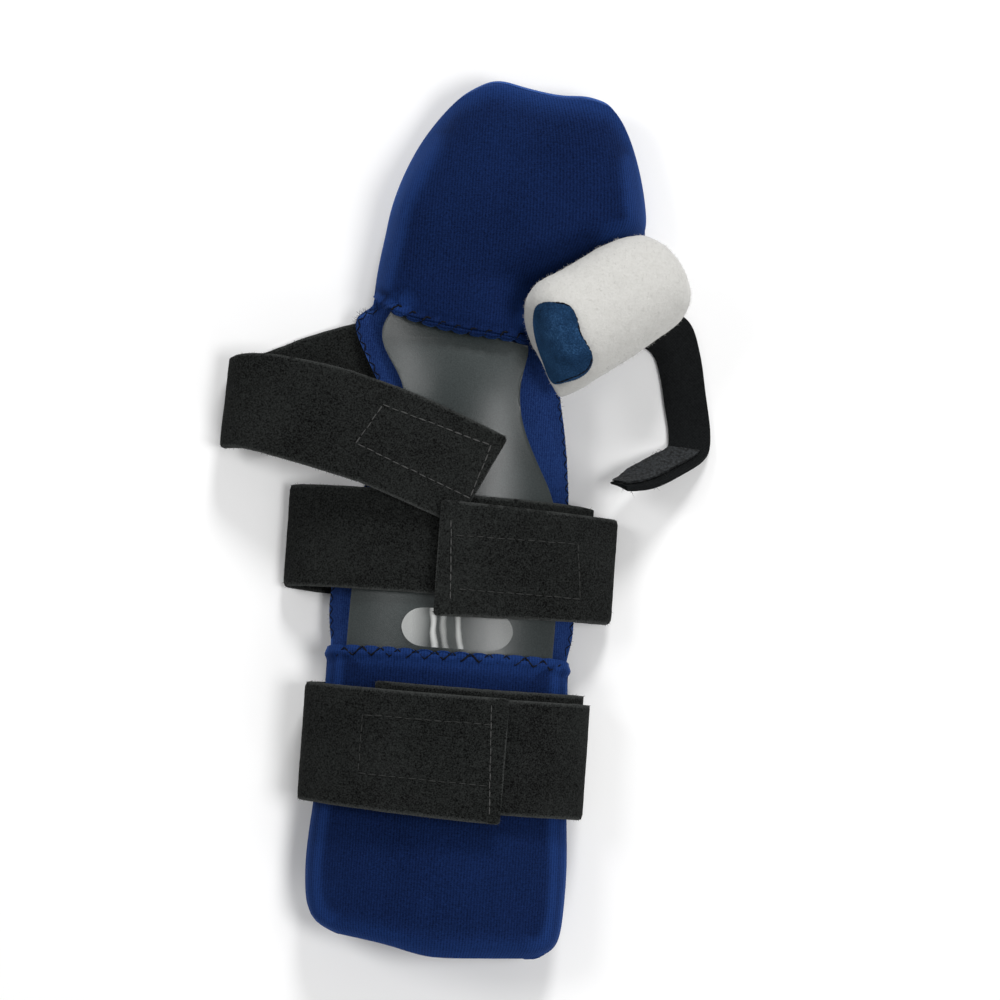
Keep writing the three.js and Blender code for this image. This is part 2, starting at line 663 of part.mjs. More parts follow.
const pieces = [
  ["back_panel", makeBackPanel(), neopreneBack],
  ["shell", makeShell(), mouldedGrey],
  ["hand_pocket", makeHandPocket(), neoprene],
  ["forearm_pocket", makeForearmPocket(), neoprene],
  ["wrist_strap", makeWristStrap(), loopPile],
  ["middle_strap", makeWindingStrap(MIDDLE_STRAP, SHELL_TOP + STRAP_CLEAR), loopPile],
  ["forearm_strap", makeWindingStrap(FOREARM_STRAP, POCKET_TOP + STRAP_CLEAR), loopPile],
  ["thumb_strap", makeThumbStrap(), webbing],
  ["thumb_strap_hook", makeThumbStrapHook(), hook],
  ["size_label", makeLabel(), film],
];

const orthosis = new THREE.Group();
for (const [name, geometry, look] of pieces) {
  const mesh = new THREE.Mesh(geometry, look);
  mesh.name = name;
  orthosis.add(mesh);
}

// The roll and its tab are turned shapes about their own Y axis, laid along the roll's direction
const rollGroup = new THREE.Group();
const tilt = rad(ROLL.tilt);
const level = new THREE.Vector3(rollAlong.x, rollAlong.y, 0);
const upright = new THREE.Vector3(0, 0, 1);
const rollAxis = level.clone().multiplyScalar(Math.cos(tilt)).addScaledVector(upright, -Math.sin(tilt));
const rollUp = level.clone().multiplyScalar(Math.sin(tilt)).addScaledVector(upright, Math.cos(tilt));
const rollSide = new THREE.Vector3().crossVectors(rollAxis, rollUp);
rollGroup.setRotationFromMatrix(new THREE.Matrix4().makeBasis(rollSide, rollAxis, rollUp));
rollGroup.position.set(ROLL.x, ROLL.y, ROLL.z);
for (const [name, geometry, look] of [
  ["thumb_roll", makeRoll(), fleece],
  ["roll_tab", makeRollTab(), velour],
]) {
  const mesh = new THREE.Mesh(geometry, look);
  mesh.name = name;
  rollGroup.add(mesh);
}
orthosis.add(rollGroup);
orthosis.position.set(0, HEM_FROM_ORIGIN, 0);

export default orthosis;
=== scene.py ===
"""Resting hand orthosis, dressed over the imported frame.

Its sub-assemblies are the cloth cover, the moulded shell, the wrap straps, the thumb strap and the
thumb roll.
"""

from __future__ import annotations

import logging
import math
import random
from abc import ABC, abstractmethod
from collections import Counter
from contextlib import contextmanager
from dataclasses import dataclass
from enum import Enum
from typing import Callable, Iterator, Sequence, Union

import bpy
from mathutils import Matrix, Vector, geometry, noise
from mathutils.bvhtree import BVHTree
from mathutils.kdtree import KDTree

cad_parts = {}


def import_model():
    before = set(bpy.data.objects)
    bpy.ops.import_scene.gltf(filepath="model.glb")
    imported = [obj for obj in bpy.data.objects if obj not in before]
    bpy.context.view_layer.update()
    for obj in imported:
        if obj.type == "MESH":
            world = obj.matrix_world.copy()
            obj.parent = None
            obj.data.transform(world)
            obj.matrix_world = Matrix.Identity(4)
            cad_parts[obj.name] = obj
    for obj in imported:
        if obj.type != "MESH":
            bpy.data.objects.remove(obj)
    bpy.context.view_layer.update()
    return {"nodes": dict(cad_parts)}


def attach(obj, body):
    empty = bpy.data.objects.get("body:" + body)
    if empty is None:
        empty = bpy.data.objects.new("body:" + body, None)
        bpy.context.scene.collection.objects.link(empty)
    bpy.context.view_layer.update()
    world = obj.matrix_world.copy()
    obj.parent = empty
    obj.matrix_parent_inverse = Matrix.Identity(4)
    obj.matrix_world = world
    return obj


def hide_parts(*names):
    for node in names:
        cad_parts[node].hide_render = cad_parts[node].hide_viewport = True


LOG = logging.getLogger("orthosis")
MM = 0.001
BODY = "root"
HEM_FROM_ORIGIN = 36.0
RIM = "rim"
MERGE = 0.004 * MM
SEARCH_FROM = 0.2
OFF_THE_FLOOR = 1.5 * MM

Colour = tuple[float, float, float, float]
Plan = tuple[float, float]
Spot = tuple[float, float, float]


def srgb(red: int, green: int, blue: int) -> Colour:
    """The linear colour of an sRGB triple.

    Args:
        red: Red from 0 to 255.
        green: Green from 0 to 255.
        blue: Blue from 0 to 255.

    Returns:
        The colour.
    """
    parts = [channel / 255 for channel in (red, green, blue)]
    linear = [c / 12.92 if c <= 0.04045 else ((c + 0.055) / 1.055) ** 2.4 for c in parts]
    return (linear[0], linear[1], linear[2], 1.0)


def place(point: Plan) -> Vector:
    """A plan point in millimetres from the forearm hem, as metres in the frame."""
    return Vector((point[0] * MM, (point[1] + HEM_FROM_ORIGIN) * MM, 0.0))


def raised(point: Spot) -> Vector:
    """A plan point with its height, all in millimetres, as metres in the frame."""
    return place(point[:2]) + Vector((0, 0, point[2] * MM))


def ramp(value: float, low: float, high: float) -> float:
    """A smooth step from 0 at low to 1 at high."""
    share = min(max((value - low) / (high - low), 0.0), 1.0)
    return share * share * (3 - 2 * share)


def bell(value: float, middle: float, width: float) -> float:
    """A smooth hump that is 1 at its middle."""
    return math.exp(-(((value - middle) / width) ** 2))


# Shader graphs


class Sock:
    """A node output that takes part in Python arithmetic."""

    def __init__(self, graph: "Graph", socket: bpy.types.NodeSocket) -> None:
        """Keep the socket and the graph it belongs to."""
        self.graph = graph
        self.socket = socket

    def _math(self, operation: str, left: "Value", right: "Value") -> "Sock":
        """Add a Math node on two values."""
        return self.graph.maths(operation, left, right)

    def __add__(self, other: "Value") -> "Sock":
        """This value plus another."""
        return self._math("ADD", self, other)

    def __radd__(self, other: "Value") -> "Sock":
        """Another value plus this one."""
        return self._math("ADD", other, self)

    def __sub__(self, other: "Value") -> "Sock":
        """This value minus another."""
        return self._math("SUBTRACT", self, other)

    def __rsub__(self, other: "Value") -> "Sock":
        """Another value minus this one."""
        return self._math("SUBTRACT", other, self)

    def __mul__(self, other: "Value") -> "Sock":
        """This value times another."""
        return self._math("MULTIPLY", self, other)

    def __rmul__(self, other: "Value") -> "Sock":
        """Another value times this one."""
        return self._math("MULTIPLY", other, self)

    def __truediv__(self, other: "Value") -> "Sock":
        """This value over another."""
        return self._math("DIVIDE", self, other)

    def __pow__(self, other: "Value") -> "Sock":
        """This value to a power."""
        return self._math("POWER", self, other)


Value = Union[Sock, float, int]


class Graph:
    """The node tree of one material."""

    def __init__(self, name: str) -> None:
        """Start an empty material.

        Args:
            name: The material's name.
        """
        self.material = bpy.data.materials.new(name)
        self.material.use_nodes = True
        self.tree = self.material.node_tree
        self.tree.nodes.clear()

    def node(
        self,
        kind: str,
        settings: dict[str, object] | None = None,
        inputs: dict[Union[int, str], object] | None = None,
        output: Union[int, str] = 0,
    ) -> Sock:
        """Add any node.

        Args:
            kind: The node's type.
            settings: Its own settings, set first; "stops" fills a colour ramp.
            inputs: Values or sockets for its inputs, by name or number.
            output: Which of its outputs to give back.

        Returns:
            The chosen output.
        """
        made = self.tree.nodes.new(kind)
        for key, value in (settings or {}).items():
            if key == "stops":
                self._stops(made.color_ramp, value)
            else:
                setattr(made, key, value)
        for key, value in (inputs or {}).items():
            if isinstance(value, Sock):
                self.tree.links.new(value.socket, made.inputs[key])
            else:
                made.inputs[key].default_value = value
        return Sock(self, made.outputs[output])

    @staticmethod
    def _stops(band: bpy.types.ColorRamp, stops: Sequence[tuple[float, Colour]]) -> None:
        """Fill a colour ramp with its stops.

        Args:
            band: The ramp.
            stops: Place and colour of each stop.
        """
        while len(band.elements) < len(stops):
            band.elements.new(0.5)
        for element, (position, colour) in zip(band.elements, stops):
            element.position = position
            element.color = colour

    def spot(self) -> Sock:
        """The point on the surface, in the piece's own frame."""
        return self.node("ShaderNodeTexCoord", output="Object")

    def axes(self) -> tuple[Sock, Sock, Sock]:
        """The point's three coordinates."""
        split = self.node("ShaderNodeSeparateXYZ", inputs={0: self.spot()}).socket.node
        return tuple(Sock(self, split.outputs[i]) for i in range(3))

    def maths(self, operation: str, left: Value, right: Value = 0.0) -> Sock:
        """A Math node by the name of its operation."""
        return self.node("ShaderNodeMath", {"operation": operation}, {0: left, 1: right})

    def limited(self, value: Value) -> Sock:
        """A value held between 0 and 1."""
        return self.node("ShaderNodeMath", {"operation": "ADD", "use_clamp": True}, {0: value, 1: 0.0})

    def noise(self, scale: float, detail: float = 2.0, rough: float = 0.5) -> Sock:
        """Even noise from 0 to 1.

        Args:
            scale: Features for each metre.
            detail: Octaves.
            rough: Weight of the finer octaves.

        Returns:
            The noise.
        """
        inputs = {"Vector": self.spot(), "Scale": scale, "Detail": detail, "Roughness": rough}
        return self.node("ShaderNodeTexNoise", inputs=inputs)

    def cells(self, scale: float) -> Sock:
        """Distance to the nearest of scattered points, for pebbled grain."""
        return self.node("ShaderNodeTexVoronoi", inputs={"Vector": self.spot(), "Scale": scale})

    def rim(self) -> Sock:
        """How far the point stands out as a rim."""
        return self.node("ShaderNodeAttribute", {"attribute_name": RIM}, output="Fac")

    def mixed(self, share: Value, first: object, second: object) -> Sock:
        """A colour between two colours."""
        return self.node("ShaderNodeMix", {"data_type": "RGBA"}, {0: share, 6: first, 7: second}, 2)

    def toned(self, share: Sock, *stops: tuple[float, Colour]) -> Sock:
        """A colour from a ramp of several."""
        return self.node("ShaderNodeValToRGB", {"stops": stops}, {"Fac": share})

    def finish(
        self,
        colour: Union[Sock, Colour],
        roughness: Value,
        height: Sock | None = None,
        bump: tuple[float, float] = (0.0, 0.0),
        **fixed: object,
    ) -> bpy.types.Material:
        """Close the graph with a surface shader.

        Args:
            colour: Base colour.
            roughness: Roughness.
            height: What the bump follows.
            bump: Strength and depth of the bump.
            **fixed: Constant sockets, with underscores for spaces.

        Returns:
            The finished material.
        """
        inputs: dict[Union[int, str], object] = {"Base Color": colour, "Roughness": roughness}
        if height is not None:
            relief = {"Height": height, "Strength": bump[0], "Distance": bump[1]}
            inputs["Normal"] = self.node("ShaderNodeBump", inputs=relief)
        inputs.update({key.replace("_", " "): value for key, value in fixed.items()})
        surface = self.node("ShaderNodeBsdfPrincipled", inputs=inputs)
        end = self.tree.nodes.new("ShaderNodeOutputMaterial")
        self.tree.links.new(surface.socket, end.inputs["Surface"])
        return self.material


# Finishes


@dataclass(frozen=True)
class Finish(ABC):
    """What a piece looks like."""

    name: str

    @abstractmethod
    def material(self) -> bpy.types.Material:
        """Build the finish's shader graph.

        Returns:
            The material.
        """


@dataclass(frozen=True)
class TwoTone(Finish):
    """A finish that varies between a deep colour and a lit one."""

    deep: Colour
    lit: Colour


@dataclass(frozen=True)
class Neoprene(TwoTone):
    """Knit-faced neoprene: fine wales along the arm, a soft fibre sheen from the shader and a painted sheen
    that lightens the cloth near its outline.
    """

    # pale is the colour of the painted sheen near the outline.
    pale: Colour
    wale: float = 0.97 * MM
    course: float = 0.72 * MM
    radius: float = 60 * MM
    centre: float = -32.5 * MM
    sheen: float = 0.35
    # How strongly the painted sheen lightens the cloth near its outline.
    painted_sheen_and_wear: float = 0.75

    def material(self) -> bpy.types.Material:
        """The neoprene's material, with its knit wrapped round the arch.

        Returns:
            The material.
        """
        g = Graph(self.name)
        x, y, z = g.axes()
        across = g.maths("ARCTAN2", x, z - self.centre) * self.radius
        wales = g.maths("SINE", across * (2 * math.pi / self.wale))
        courses = g.maths("SINE", y * (2 * math.pi / self.course) + wales * 1.4)
        knit = wales * 0.34 + courses * 0.16 + 0.5
        grain = g.noise(1500, detail=3, rough=0.7)
        blotch = g.noise(30, detail=2)
        light = g.limited(knit * 0.36 + grain * 1.5 + blotch * 0.4 - 0.72)
        # Painted sheen: near its outline the cloth is lightened towards the pale colour, standing in for
        # the light it catches where it turns down.
        rim = g.rim()
        edge = g.limited(rim * rim * self.painted_sheen_and_wear * (knit * 0.8 + grain * 1.4 - 0.2))
        return g.finish(
            g.mixed(edge, g.mixed(light, self.deep, self.lit), self.pale),
            0.85,
            knit * 0.6 + grain * 0.5,
            (0.5, 0.16 * MM),
            Sheen_Weight=self.sheen,
            Sheen_Roughness=0.35,
            Sheen_Tint=(0.06, 0.18, 0.6, 1.0),
            Specular_IOR_Level=0.05,
        )


@dataclass(frozen=True)
class LoopPile(TwoTone):
    """Brushed loop pile: matted clumps of fine black loops, with rims lightened partly by the edges'
    fuzzier pile and partly by a painted highlight.
    """

    # The colour of the lighter rims: the edges' fuzzier pile with a painted highlight.
    fuzz_and_highlight: Colour
    clump: float = 600
    loop: float = 1700
    # How strongly the rims are lightened, by fuzz and a painted highlight.
    painted_sheen_and_wear: float = 6.5

    def material(self) -> bpy.types.Material:
        """The pile's material.

        Returns:
            The material.
        """
        g = Graph(self.name)
        clumps = g.noise(self.clump, detail=3, rough=0.6)
        loops = g.noise(self.loop, detail=2, rough=0.7)
        painted_sheen_and_wear = g.noise(40, detail=2)
        light = g.limited((clumps * 0.4 + loops * 1.5 + painted_sheen_and_wear * 0.35 - 0.85) * 1.9)
        # Rims lightened towards the fuzz colour: partly the edges' fuzzier pile, partly a painted
        # highlight.
        edge = g.limited(g.rim() * self.painted_sheen_and_wear + loops * 0.6 - 0.45)
        return g.finish(
            g.mixed(edge, g.mixed(light, self.deep, self.lit), self.fuzz_and_highlight),
            0.95,
            clumps * 0.6 + loops * 0.6,
            (0.75, 0.5 * MM),
            Specular_IOR_Level=0.05,
        )


@dataclass(frozen=True)
class Fleece(TwoTone):
    """Short white fleece with a soft mottled nap."""

    def material(self) -> bpy.types.Material:
        """The fleece's material.

        Returns:
            The material.
        """
        g = Graph(self.name)
        nap = g.noise(1100, detail=4, rough=0.65)
        tufts = g.noise(330, detail=3, rough=0.55)
        light = g.limited(nap * 0.9 + tufts * 0.4 - 0.15)
        return g.finish(
            g.mixed(light, self.deep, self.lit),
            0.95,
            nap * 0.7 + tufts * 0.5,
            (0.6, 0.5 * MM),
            Sheen_Weight=0.25,
            Sheen_Roughness=0.6,
            Specular_IOR_Level=0.1,
        )


@dataclass(frozen=True)
class MouldedPlastic(TwoTone):
    """Satin thermoplastic with a fine haircell grain and a painted highlight along its edges."""

    pebble: float = 2400

    def material(self) -> bpy.types.Material:
        """The plastic's material.

        Returns:
            The material.
        """
        g = Graph(self.name)
        grain = g.cells(self.pebble)
        cloud = g.noise(34, detail=2)
        speck = g.noise(1800, detail=2, rough=0.7)
        # The rim term paints a highlight along the shell's edges, where the cut edge catches the light.
        light = g.limited(cloud * 0.6 + speck * 1.6 - 0.6 + g.rim() * 2.0)
        return g.finish(
            g.mixed(light, self.deep, self.lit),
            cloud * 0.12 + 0.28,
            grain * 0.7 + speck * 0.7,
            (0.45, 0.06 * MM),
            Specular_IOR_Level=0.5,
        )


@dataclass(frozen=True)
class SmoothWebbing(TwoTone):
    """Dull laminated strap with a faint cross weave."""

    pick: float = 1.1 * MM

    def material(self) -> bpy.types.Material:
        """The webbing's material.

        Returns:
            The material.
        """
        g = Graph(self.name)
        x, y, _ = g.axes()
        turns = 2 * math.pi / self.pick
        weave = g.maths("SINE", y * turns) * g.maths("SINE", x * turns)
        fibre = g.noise(1700, detail=3, rough=0.7)
        light = g.limited(weave * 0.2 + fibre * 1.8 - 0.5)
        return g.finish(
            g.mixed(light, self.deep, self.lit),
            0.8,
            weave * 0.3 + fibre * 0.5,
            (0.5, 0.15 * MM),
            Specular_IOR_Level=0.08,
        )


@dataclass(frozen=True)
class HookPile(TwoTone):
    """Moulded hook tape: a dense field of small stiff hooks."""

    hook: float = 950

    def material(self) -> bpy.types.Material:
        """The hook tape's material.

        Returns:
            The material.
        """
        g = Graph(self.name)
        hooks = 1 - g.cells(self.hook)
        fluff = g.noise(900, detail=4, rough=0.75)
        light = g.limited(hooks * 0.7 + fluff * 0.9 - 0.55)
        return g.finish(
            g.mixed(light, self.deep, self.lit),
            0.7,
            hooks + fluff * 0.6,
            (0.9, 0.5 * MM),
            Specular_IOR_Level=0.25,
        )


@dataclass(frozen=True)
class Velour(Finish):
    """Brushed blue velour, its nap lying two ways."""

    deep: Colour
    body: Colour
    lit: Colour

    def material(self) -> bpy.types.Material:
        """The velour's material.

        Returns:
            The material.
        """
        g = Graph(self.name)
        nap = g.noise(1700, detail=4, rough=0.75)
        brushed = g.noise(110, detail=2)
        light = g.limited(nap * 1.5 + brushed * 0.8 - 0.72)
        return g.finish(
            g.toned(light, (0.0, self.deep), (0.55, self.body), (1.0, self.lit)),
            0.92,
            nap,
            (0.5, 0.25 * MM),
            Sheen_Weight=0.3,
            Sheen_Roughness=0.4,
            Sheen_Tint=(0.1, 0.3, 0.6, 1.0),
            Specular_IOR_Level=0.05,
        )


@dataclass(frozen=True)
class ClearFilm(Finish):
    """Glossy clear film with painted reflections: it turns pale and opaque at its ends and in a few long
    streaks.
    """

    tint: Colour
    middle: float = 3.0 * MM
    # Places and strengths of the painted reflection streaks; the ends below are painted reflections too.
    streaks: tuple[Plan, ...] = ((-5.2 * MM, 0.9), (-1.5 * MM, 0.3), (3.8 * MM, 0.55))
    streak_width: float = 1.5 * MM
    streak_lean: float = 0.12
    streak_middle: float = 44 * MM
    dark_half: float = 9.5 * MM
    near_end: float = 0.3
    near_fade: float = 7 * MM
    far_end: float = 0.13
    far_fade: float = 9 * MM
    least: float = 0.03

    def material(self) -> bpy.types.Material:
        """The film's material, clear away from its painted reflections.

        Returns:
            The material.
        """
        g = Graph(self.name)
        x, y, _ = g.axes()
        wander = (g.noise(110, detail=1) - 0.5) * (2.5 * MM)
        # Painted reflections: pale glints at both ends and along the streaks, drawn as opacity of the pale
        # tint.
        near = g.limited((self.middle - self.dark_half - x) / self.near_fade)
        far = g.limited((x - self.middle - self.dark_half) / self.far_fade)
        painted_glints = near * self.near_end + far * self.far_end
        for place_x, strength in self.streaks:
            off = (x - place_x + wander + (y - self.streak_middle) * self.streak_lean) / self.streak_width
            painted_glints = painted_glints + g.limited(1 - off * off) ** 2 * strength
        return g.finish(
            self.tint,
            0.24,
            g.noise(160, detail=1),
            (0.3, 0.3 * MM),
            Alpha=g.limited(painted_glints + self.least),
            Specular_IOR_Level=0.5,
        )


@dataclass(frozen=True)
class Thread(Finish):
    """Sewing thread with a little sheen."""

    shade: Colour
    pale: Colour

    def material(self) -> bpy.types.Material:
        """The thread's material.

        Returns:
            The material.
        """
        g = Graph(self.name)
        ply = g.noise(2600, detail=2, rough=0.6)
        return g.finish(
            g.mixed(g.limited(ply * 1.4 - 0.2), self.shade, self.pale),
            0.6,
            ply,
            (0.4, 0.1 * MM),
            Specular_IOR_Level=0.12,
        )


@dataclass(frozen=True)
class PalePaint(Finish):
    """Matt white of the studio floor."""

    shade: Colour

    def material(self) -> bpy.types.Material:
        """The floor's material, with the faintest unevenness.

        Returns:
            The material.
        """
        g = Graph(self.name)
        cloud = g.noise(3, detail=2)
        edge = tuple(channel * 0.985 for channel in self.shade[:3]) + (1.0,)
        return g.finish(g.mixed(cloud, edge, self.shade), 0.9, Specular_IOR_Level=0.1)


# The third colour of each neoprene is its painted sheen near the outline.
COVER_BLUE = Neoprene("knit_cover", srgb(3, 12, 38), srgb(21, 42, 88), srgb(27, 53, 107))
PANEL_BLUE = Neoprene("knit_panel", srgb(14, 29, 70), srgb(44, 73, 134), srgb(52, 84, 148))
# The third colour of the loop pile lightens its rims: the edges' fuzzier pile together with a painted
# highlight.
STRAP_BLACK = LoopPile("loop_pile", srgb(3, 3, 3), srgb(40, 42, 41), srgb(72, 74, 73))
SHELL_GREY = MouldedPlastic("haircell_plastic", srgb(30, 36, 36), srgb(56, 63, 63))
THUMB_BLACK = SmoothWebbing("laminated_strap", srgb(3, 4, 5), srgb(29, 31, 32))
HOOK_GREY = HookPile("hook_tape", srgb(15, 16, 17), srgb(66, 70, 73))
ROLL_WHITE = Fleece("white_fleece", srgb(180, 179, 174), srgb(206, 205, 202))
TAB_BLUE = Velour("blue_velour", srgb(7, 21, 38), srgb(29, 57, 89), srgb(66, 107, 152))
LABEL_CLEAR = ClearFilm("clear_film", srgb(226, 228, 226))
PALE_THREAD = Thread("pale_thread", srgb(44, 45, 44), srgb(88, 88, 87))
DIM_THREAD = Thread("dim_thread", srgb(26, 27, 26), srgb(58, 59, 58))
LINT_GREY = Thread("grey_lint", srgb(30, 31, 30), srgb(66, 67, 66))
DARK_THREAD = Thread("dark_thread", srgb(3, 4, 9), srgb(11, 14, 26))
FLOOR_WHITE = PalePaint("studio_floor", (0.97, 0.97, 0.97, 1.0))


# Modelling moves


def deselect() -> None:
    """Leave nothing selected."""
    if bpy.context.object and bpy.context.object.mode != "OBJECT":
        bpy.ops.object.mode_set(mode="OBJECT")
    bpy.ops.object.select_all(action="DESELECT")


def take(obj: bpy.types.Object) -> None:
    """Select one object alone and make it active.

    Args:
        obj: The object.
    """
    deselect()
    obj.select_set(True)
    bpy.context.view_layer.objects.active = obj


@contextmanager
def editing(obj: bpy.types.Object, picks: str = "EDGE") -> Iterator[None]:
    """Edit mode on one object.

    Args:
        obj: The object.
        picks: What selection works on: VERT, EDGE or FACE.

    Yields:
        Nothing, while edit mode lasts.
    """
    take(obj)
    bpy.ops.object.mode_set(mode="EDIT")
    bpy.ops.mesh.select_mode(type=picks)
    yield
    bpy.ops.object.mode_set(mode="OBJECT")


def modified(obj: bpy.types.Object, kind: str, **settings: object) -> None:
    """Add a modifier and apply it.

    Args:
        obj: The object.
        kind: The modifier's type.
        **settings: Its settings.
    """
    take(obj)
    step = obj.modifiers.new(kind.lower(), kind)
    for key, value in settings.items():
        setattr(step, key, value)
    bpy.ops.object.modifier_apply(modifier=step.name)


def carried(nodes: dict[str, bpy.types.Object], node: str, name: str) -> bpy.types.Object:
    """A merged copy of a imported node, with its facets joined into quads.

    Args:
        nodes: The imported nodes.
        node: Which one.
        name: The new piece's name.

    Returns:
        The new piece.
    """
    piece = bpy.data.objects.new(name, nodes[node].data.copy())
    piece.data.name = name
    piece.data.materials.clear()
    bpy.context.scene.collection.objects.link(piece)
    with editing(piece):
        bpy.ops.mesh.select_all(action="SELECT")
        bpy.ops.mesh.remove_doubles(threshold=MERGE)
        bpy.ops.mesh.tris_convert_to_quads(
            face_threshold=math.radians(60), shape_threshold=math.radians(70)
        )
    return piece


def repeated(model: bpy.types.Object, name: str, places: Sequence[Matrix]) -> bpy.types.Object:
    """Set copies of a model in their places, each with its own mesh, and join them into one piece.

    Args:
        model: The model, which is removed.
        name: The piece's name.
        places: Where each copy goes.

    Returns:
        The piece.
    """
    copies = []
    for spot in places:
        copy = bpy.data.objects.new(name, model.data.copy())
        copy.data.transform(spot)
        bpy.context.scene.collection.objects.link(copy)
        copies.append(copy)
    bpy.data.objects.remove(model)
    take(copies[0])
    for copy in copies:
        copy.select_set(True)
    bpy.ops.object.join()
    copies[0].name = name
    return copies[0]


def softened(piece: bpy.types.Object, levels: int, bevel: float, steps: int) -> None:
    """Round a faceted wall: smooth faces, and rims that keep their line.

    Args:
        piece: The wall.
        levels: Subdivision levels.
        bevel: How far its rims are rounded.
        steps: Segments of that rounding.
    """
    rim_from, rounded_from = math.radians(50), math.radians(40)
    with editing(piece):
        bpy.ops.mesh.select_all(action="DESELECT")
        bpy.ops.mesh.edges_select_sharp(sharpness=rim_from)
        bpy.ops.transform.edge_crease(value=1.0)
    modified(piece, "SUBSURF", levels=levels, render_levels=levels)
    modified(
        piece,
        "BEVEL",
        width=bevel,
        segments=steps,
        limit_method="ANGLE",
        angle_limit=rounded_from,
        use_clamp_overlap=True,
    )
    smooth(piece)


def smooth(piece: bpy.types.Object, angle: float = 55) -> None:
    """Shade a piece smooth, apart from its sharpest edges."""
    take(piece)
    bpy.ops.object.shade_smooth_by_angle(angle=math.radians(angle))


def outward(piece: bpy.types.Object) -> list[tuple[bpy.types.MeshVertex, Vector]]:
    """Each vertex of a piece with the way it faces, read before any is moved."""
    verts = piece.data.vertices
    return list(zip(verts, [vertex.normal.copy() for vertex in verts]))


def rim_marked(piece: bpy.types.Object) -> None:
    """Write how far each vertex stands out from its neighbours, for rims that the finishes paint lighter: a
    painted highlight, which on the straps goes with their fuzzier edge pile.

    Args:
        piece: The piece.
    """
    mesh = piece.data
    usual_neighbours = 4
    normals = [vertex.normal.copy() for vertex in mesh.vertices]
    stands = [0.0] * len(normals)
    for edge in mesh.edges:
        a, b = edge.vertices
        way = (mesh.vertices[b].co - mesh.vertices[a].co).normalized()
        stands[a] -= normals[a].dot(way)
        stands[b] += normals[b].dot(way)
    layer = mesh.attributes.new(RIM, "FLOAT", "POINT")
    layer.data.foreach_set("value", [max(value, 0.0) / usual_neighbours for value in stands])


def painted_sheen_marked(
    piece: bpy.types.Object, reach: float, skip: Callable[[Vector], bool] | None = None
) -> None:
    """Write how near each vertex is to a wall's outline, for the painted sheen that lightens the cloth near
    its edge.

    Args:
        piece: The wall.
        reach: How far in the painted sheen ends, which is less at the sides and more at a closed end.
        skip: Tells which places on the outline don't count.
    """
    at_sides, more_at_ends, upright = 0.45, 1.15, 0.35
    verts = piece.data.vertices
    rim = [v for v in verts if abs(v.normal.z) < upright and not (skip and skip(v.co))]
    tree = KDTree(len(rim))
    for index, vertex in enumerate(rim):
        tree.insert((vertex.co.x, vertex.co.y, 0), index)
    tree.balance()
    shares = []
    for vertex in verts:
        _, index, away = tree.find((vertex.co.x, vertex.co.y, 0))
        depth = reach * (at_sides + more_at_ends * abs(rim[index].normal.y))
        shares.append(ramp(depth - away, 0, depth))
    piece.data.attributes.new(RIM, "FLOAT", "POINT").data.foreach_set("value", shares)


def rippled(piece: bpy.types.Object, scale: float, depth: float) -> None:
    """Give the upper face of a wall gentle unevenness.

    Args:
        piece: The wall.
        scale: Ripples for each metre.
        depth: How far the face rises and falls.
    """
    moves_from, moves_fully, finer, finer_share = 0.2, 0.5, 2.3, 0.4
    for vertex, normal in outward(piece):
        lean = ramp(normal.z, moves_from, moves_fully)
        if lean > 0:
            fine = noise.noise(vertex.co * scale * finer)
            rise = noise.noise(vertex.co * scale) + finer_share * fine
            vertex.co += normal * (depth * lean * rise)


def eased(piece: bpy.types.Object, corner: Plan, reach: float) -> None:
    """Soften a piece round one place.

    Args:
        piece: The piece.
        corner: The place in plan.
        reach: How far round it the piece is softened.
    """
    spot, passes = place(corner), 30
    group = piece.vertex_groups.new(name="corner")
    for vertex in piece.data.vertices:
        near = math.hypot(vertex.co.x - spot.x, vertex.co.y - spot.y)
        if near < reach:
            group.add([vertex.index], ramp(reach - near, 0, reach), "REPLACE")
    modified(piece, "SMOOTH", factor=0.5, iterations=passes, vertex_group=group.name)
    piece.vertex_groups.clear()


def turned_corners(piece: bpy.types.Object, radius: float, thickness: float) -> None:
    """Round a band's corners in plan, before its rims are softened.

    Args:
        piece: The band.
        radius: Radius of the corners.
        thickness: Most that the band's thickness is.
    """
    mesh = piece.data
    beside: dict[tuple[int, int], list[Vector]] = {}
    for face in mesh.polygons:
        for key in face.edge_keys:
            beside.setdefault(key, []).append(face.normal.copy())
    sharp = [edge for edge in mesh.edges if beside[edge.key][0].dot(beside[edge.key][-1]) < 0.5]
    meeting = Counter(index for edge in sharp for index in edge.vertices)
    for kind in (mesh.polygons, mesh.edges, mesh.vertices):
        kind.foreach_set("select", [False] * len(kind))
    for edge in sharp:
        a, b = edge.vertices
        short = (mesh.vertices[a].co - mesh.vertices[b].co).length < thickness
        edge.select = short and meeting[a] > 2 and meeting[b] > 2
    with editing(piece):
        bpy.ops.mesh.bevel(offset=radius, segments=4, affect="EDGES", clamp_overlap=True)


def outline_corners(piece: bpy.types.Object) -> list[tuple[Vector, Vector, Vector]]:
    """Sharp corners of a piece's outline in plan.

    Args:
        piece: The piece.

    Returns:
        Each corner with the ways along the outline to both sides of it.
    """
    flat = [vertex.co.to_2d() for vertex in piece.data.vertices]
    hull = [flat[index] for index in geometry.convex_hull_2d(flat)]
    apart, sharp = 0.3 * MM, 50
    hull = [point for point, last in zip(hull, hull[-1:] + hull[:-1]) if (point - last).length > apart]
    found = []
    for last, corner, following in zip(hull[-1:] + hull[:-1], hull, hull[1:] + hull[:1]):
        back, onward = (last - corner).normalized(), (following - corner).normalized()
        if math.degrees(math.pi - back.angle(onward)) > sharp:
            found.append((corner, back, onward))
    return found


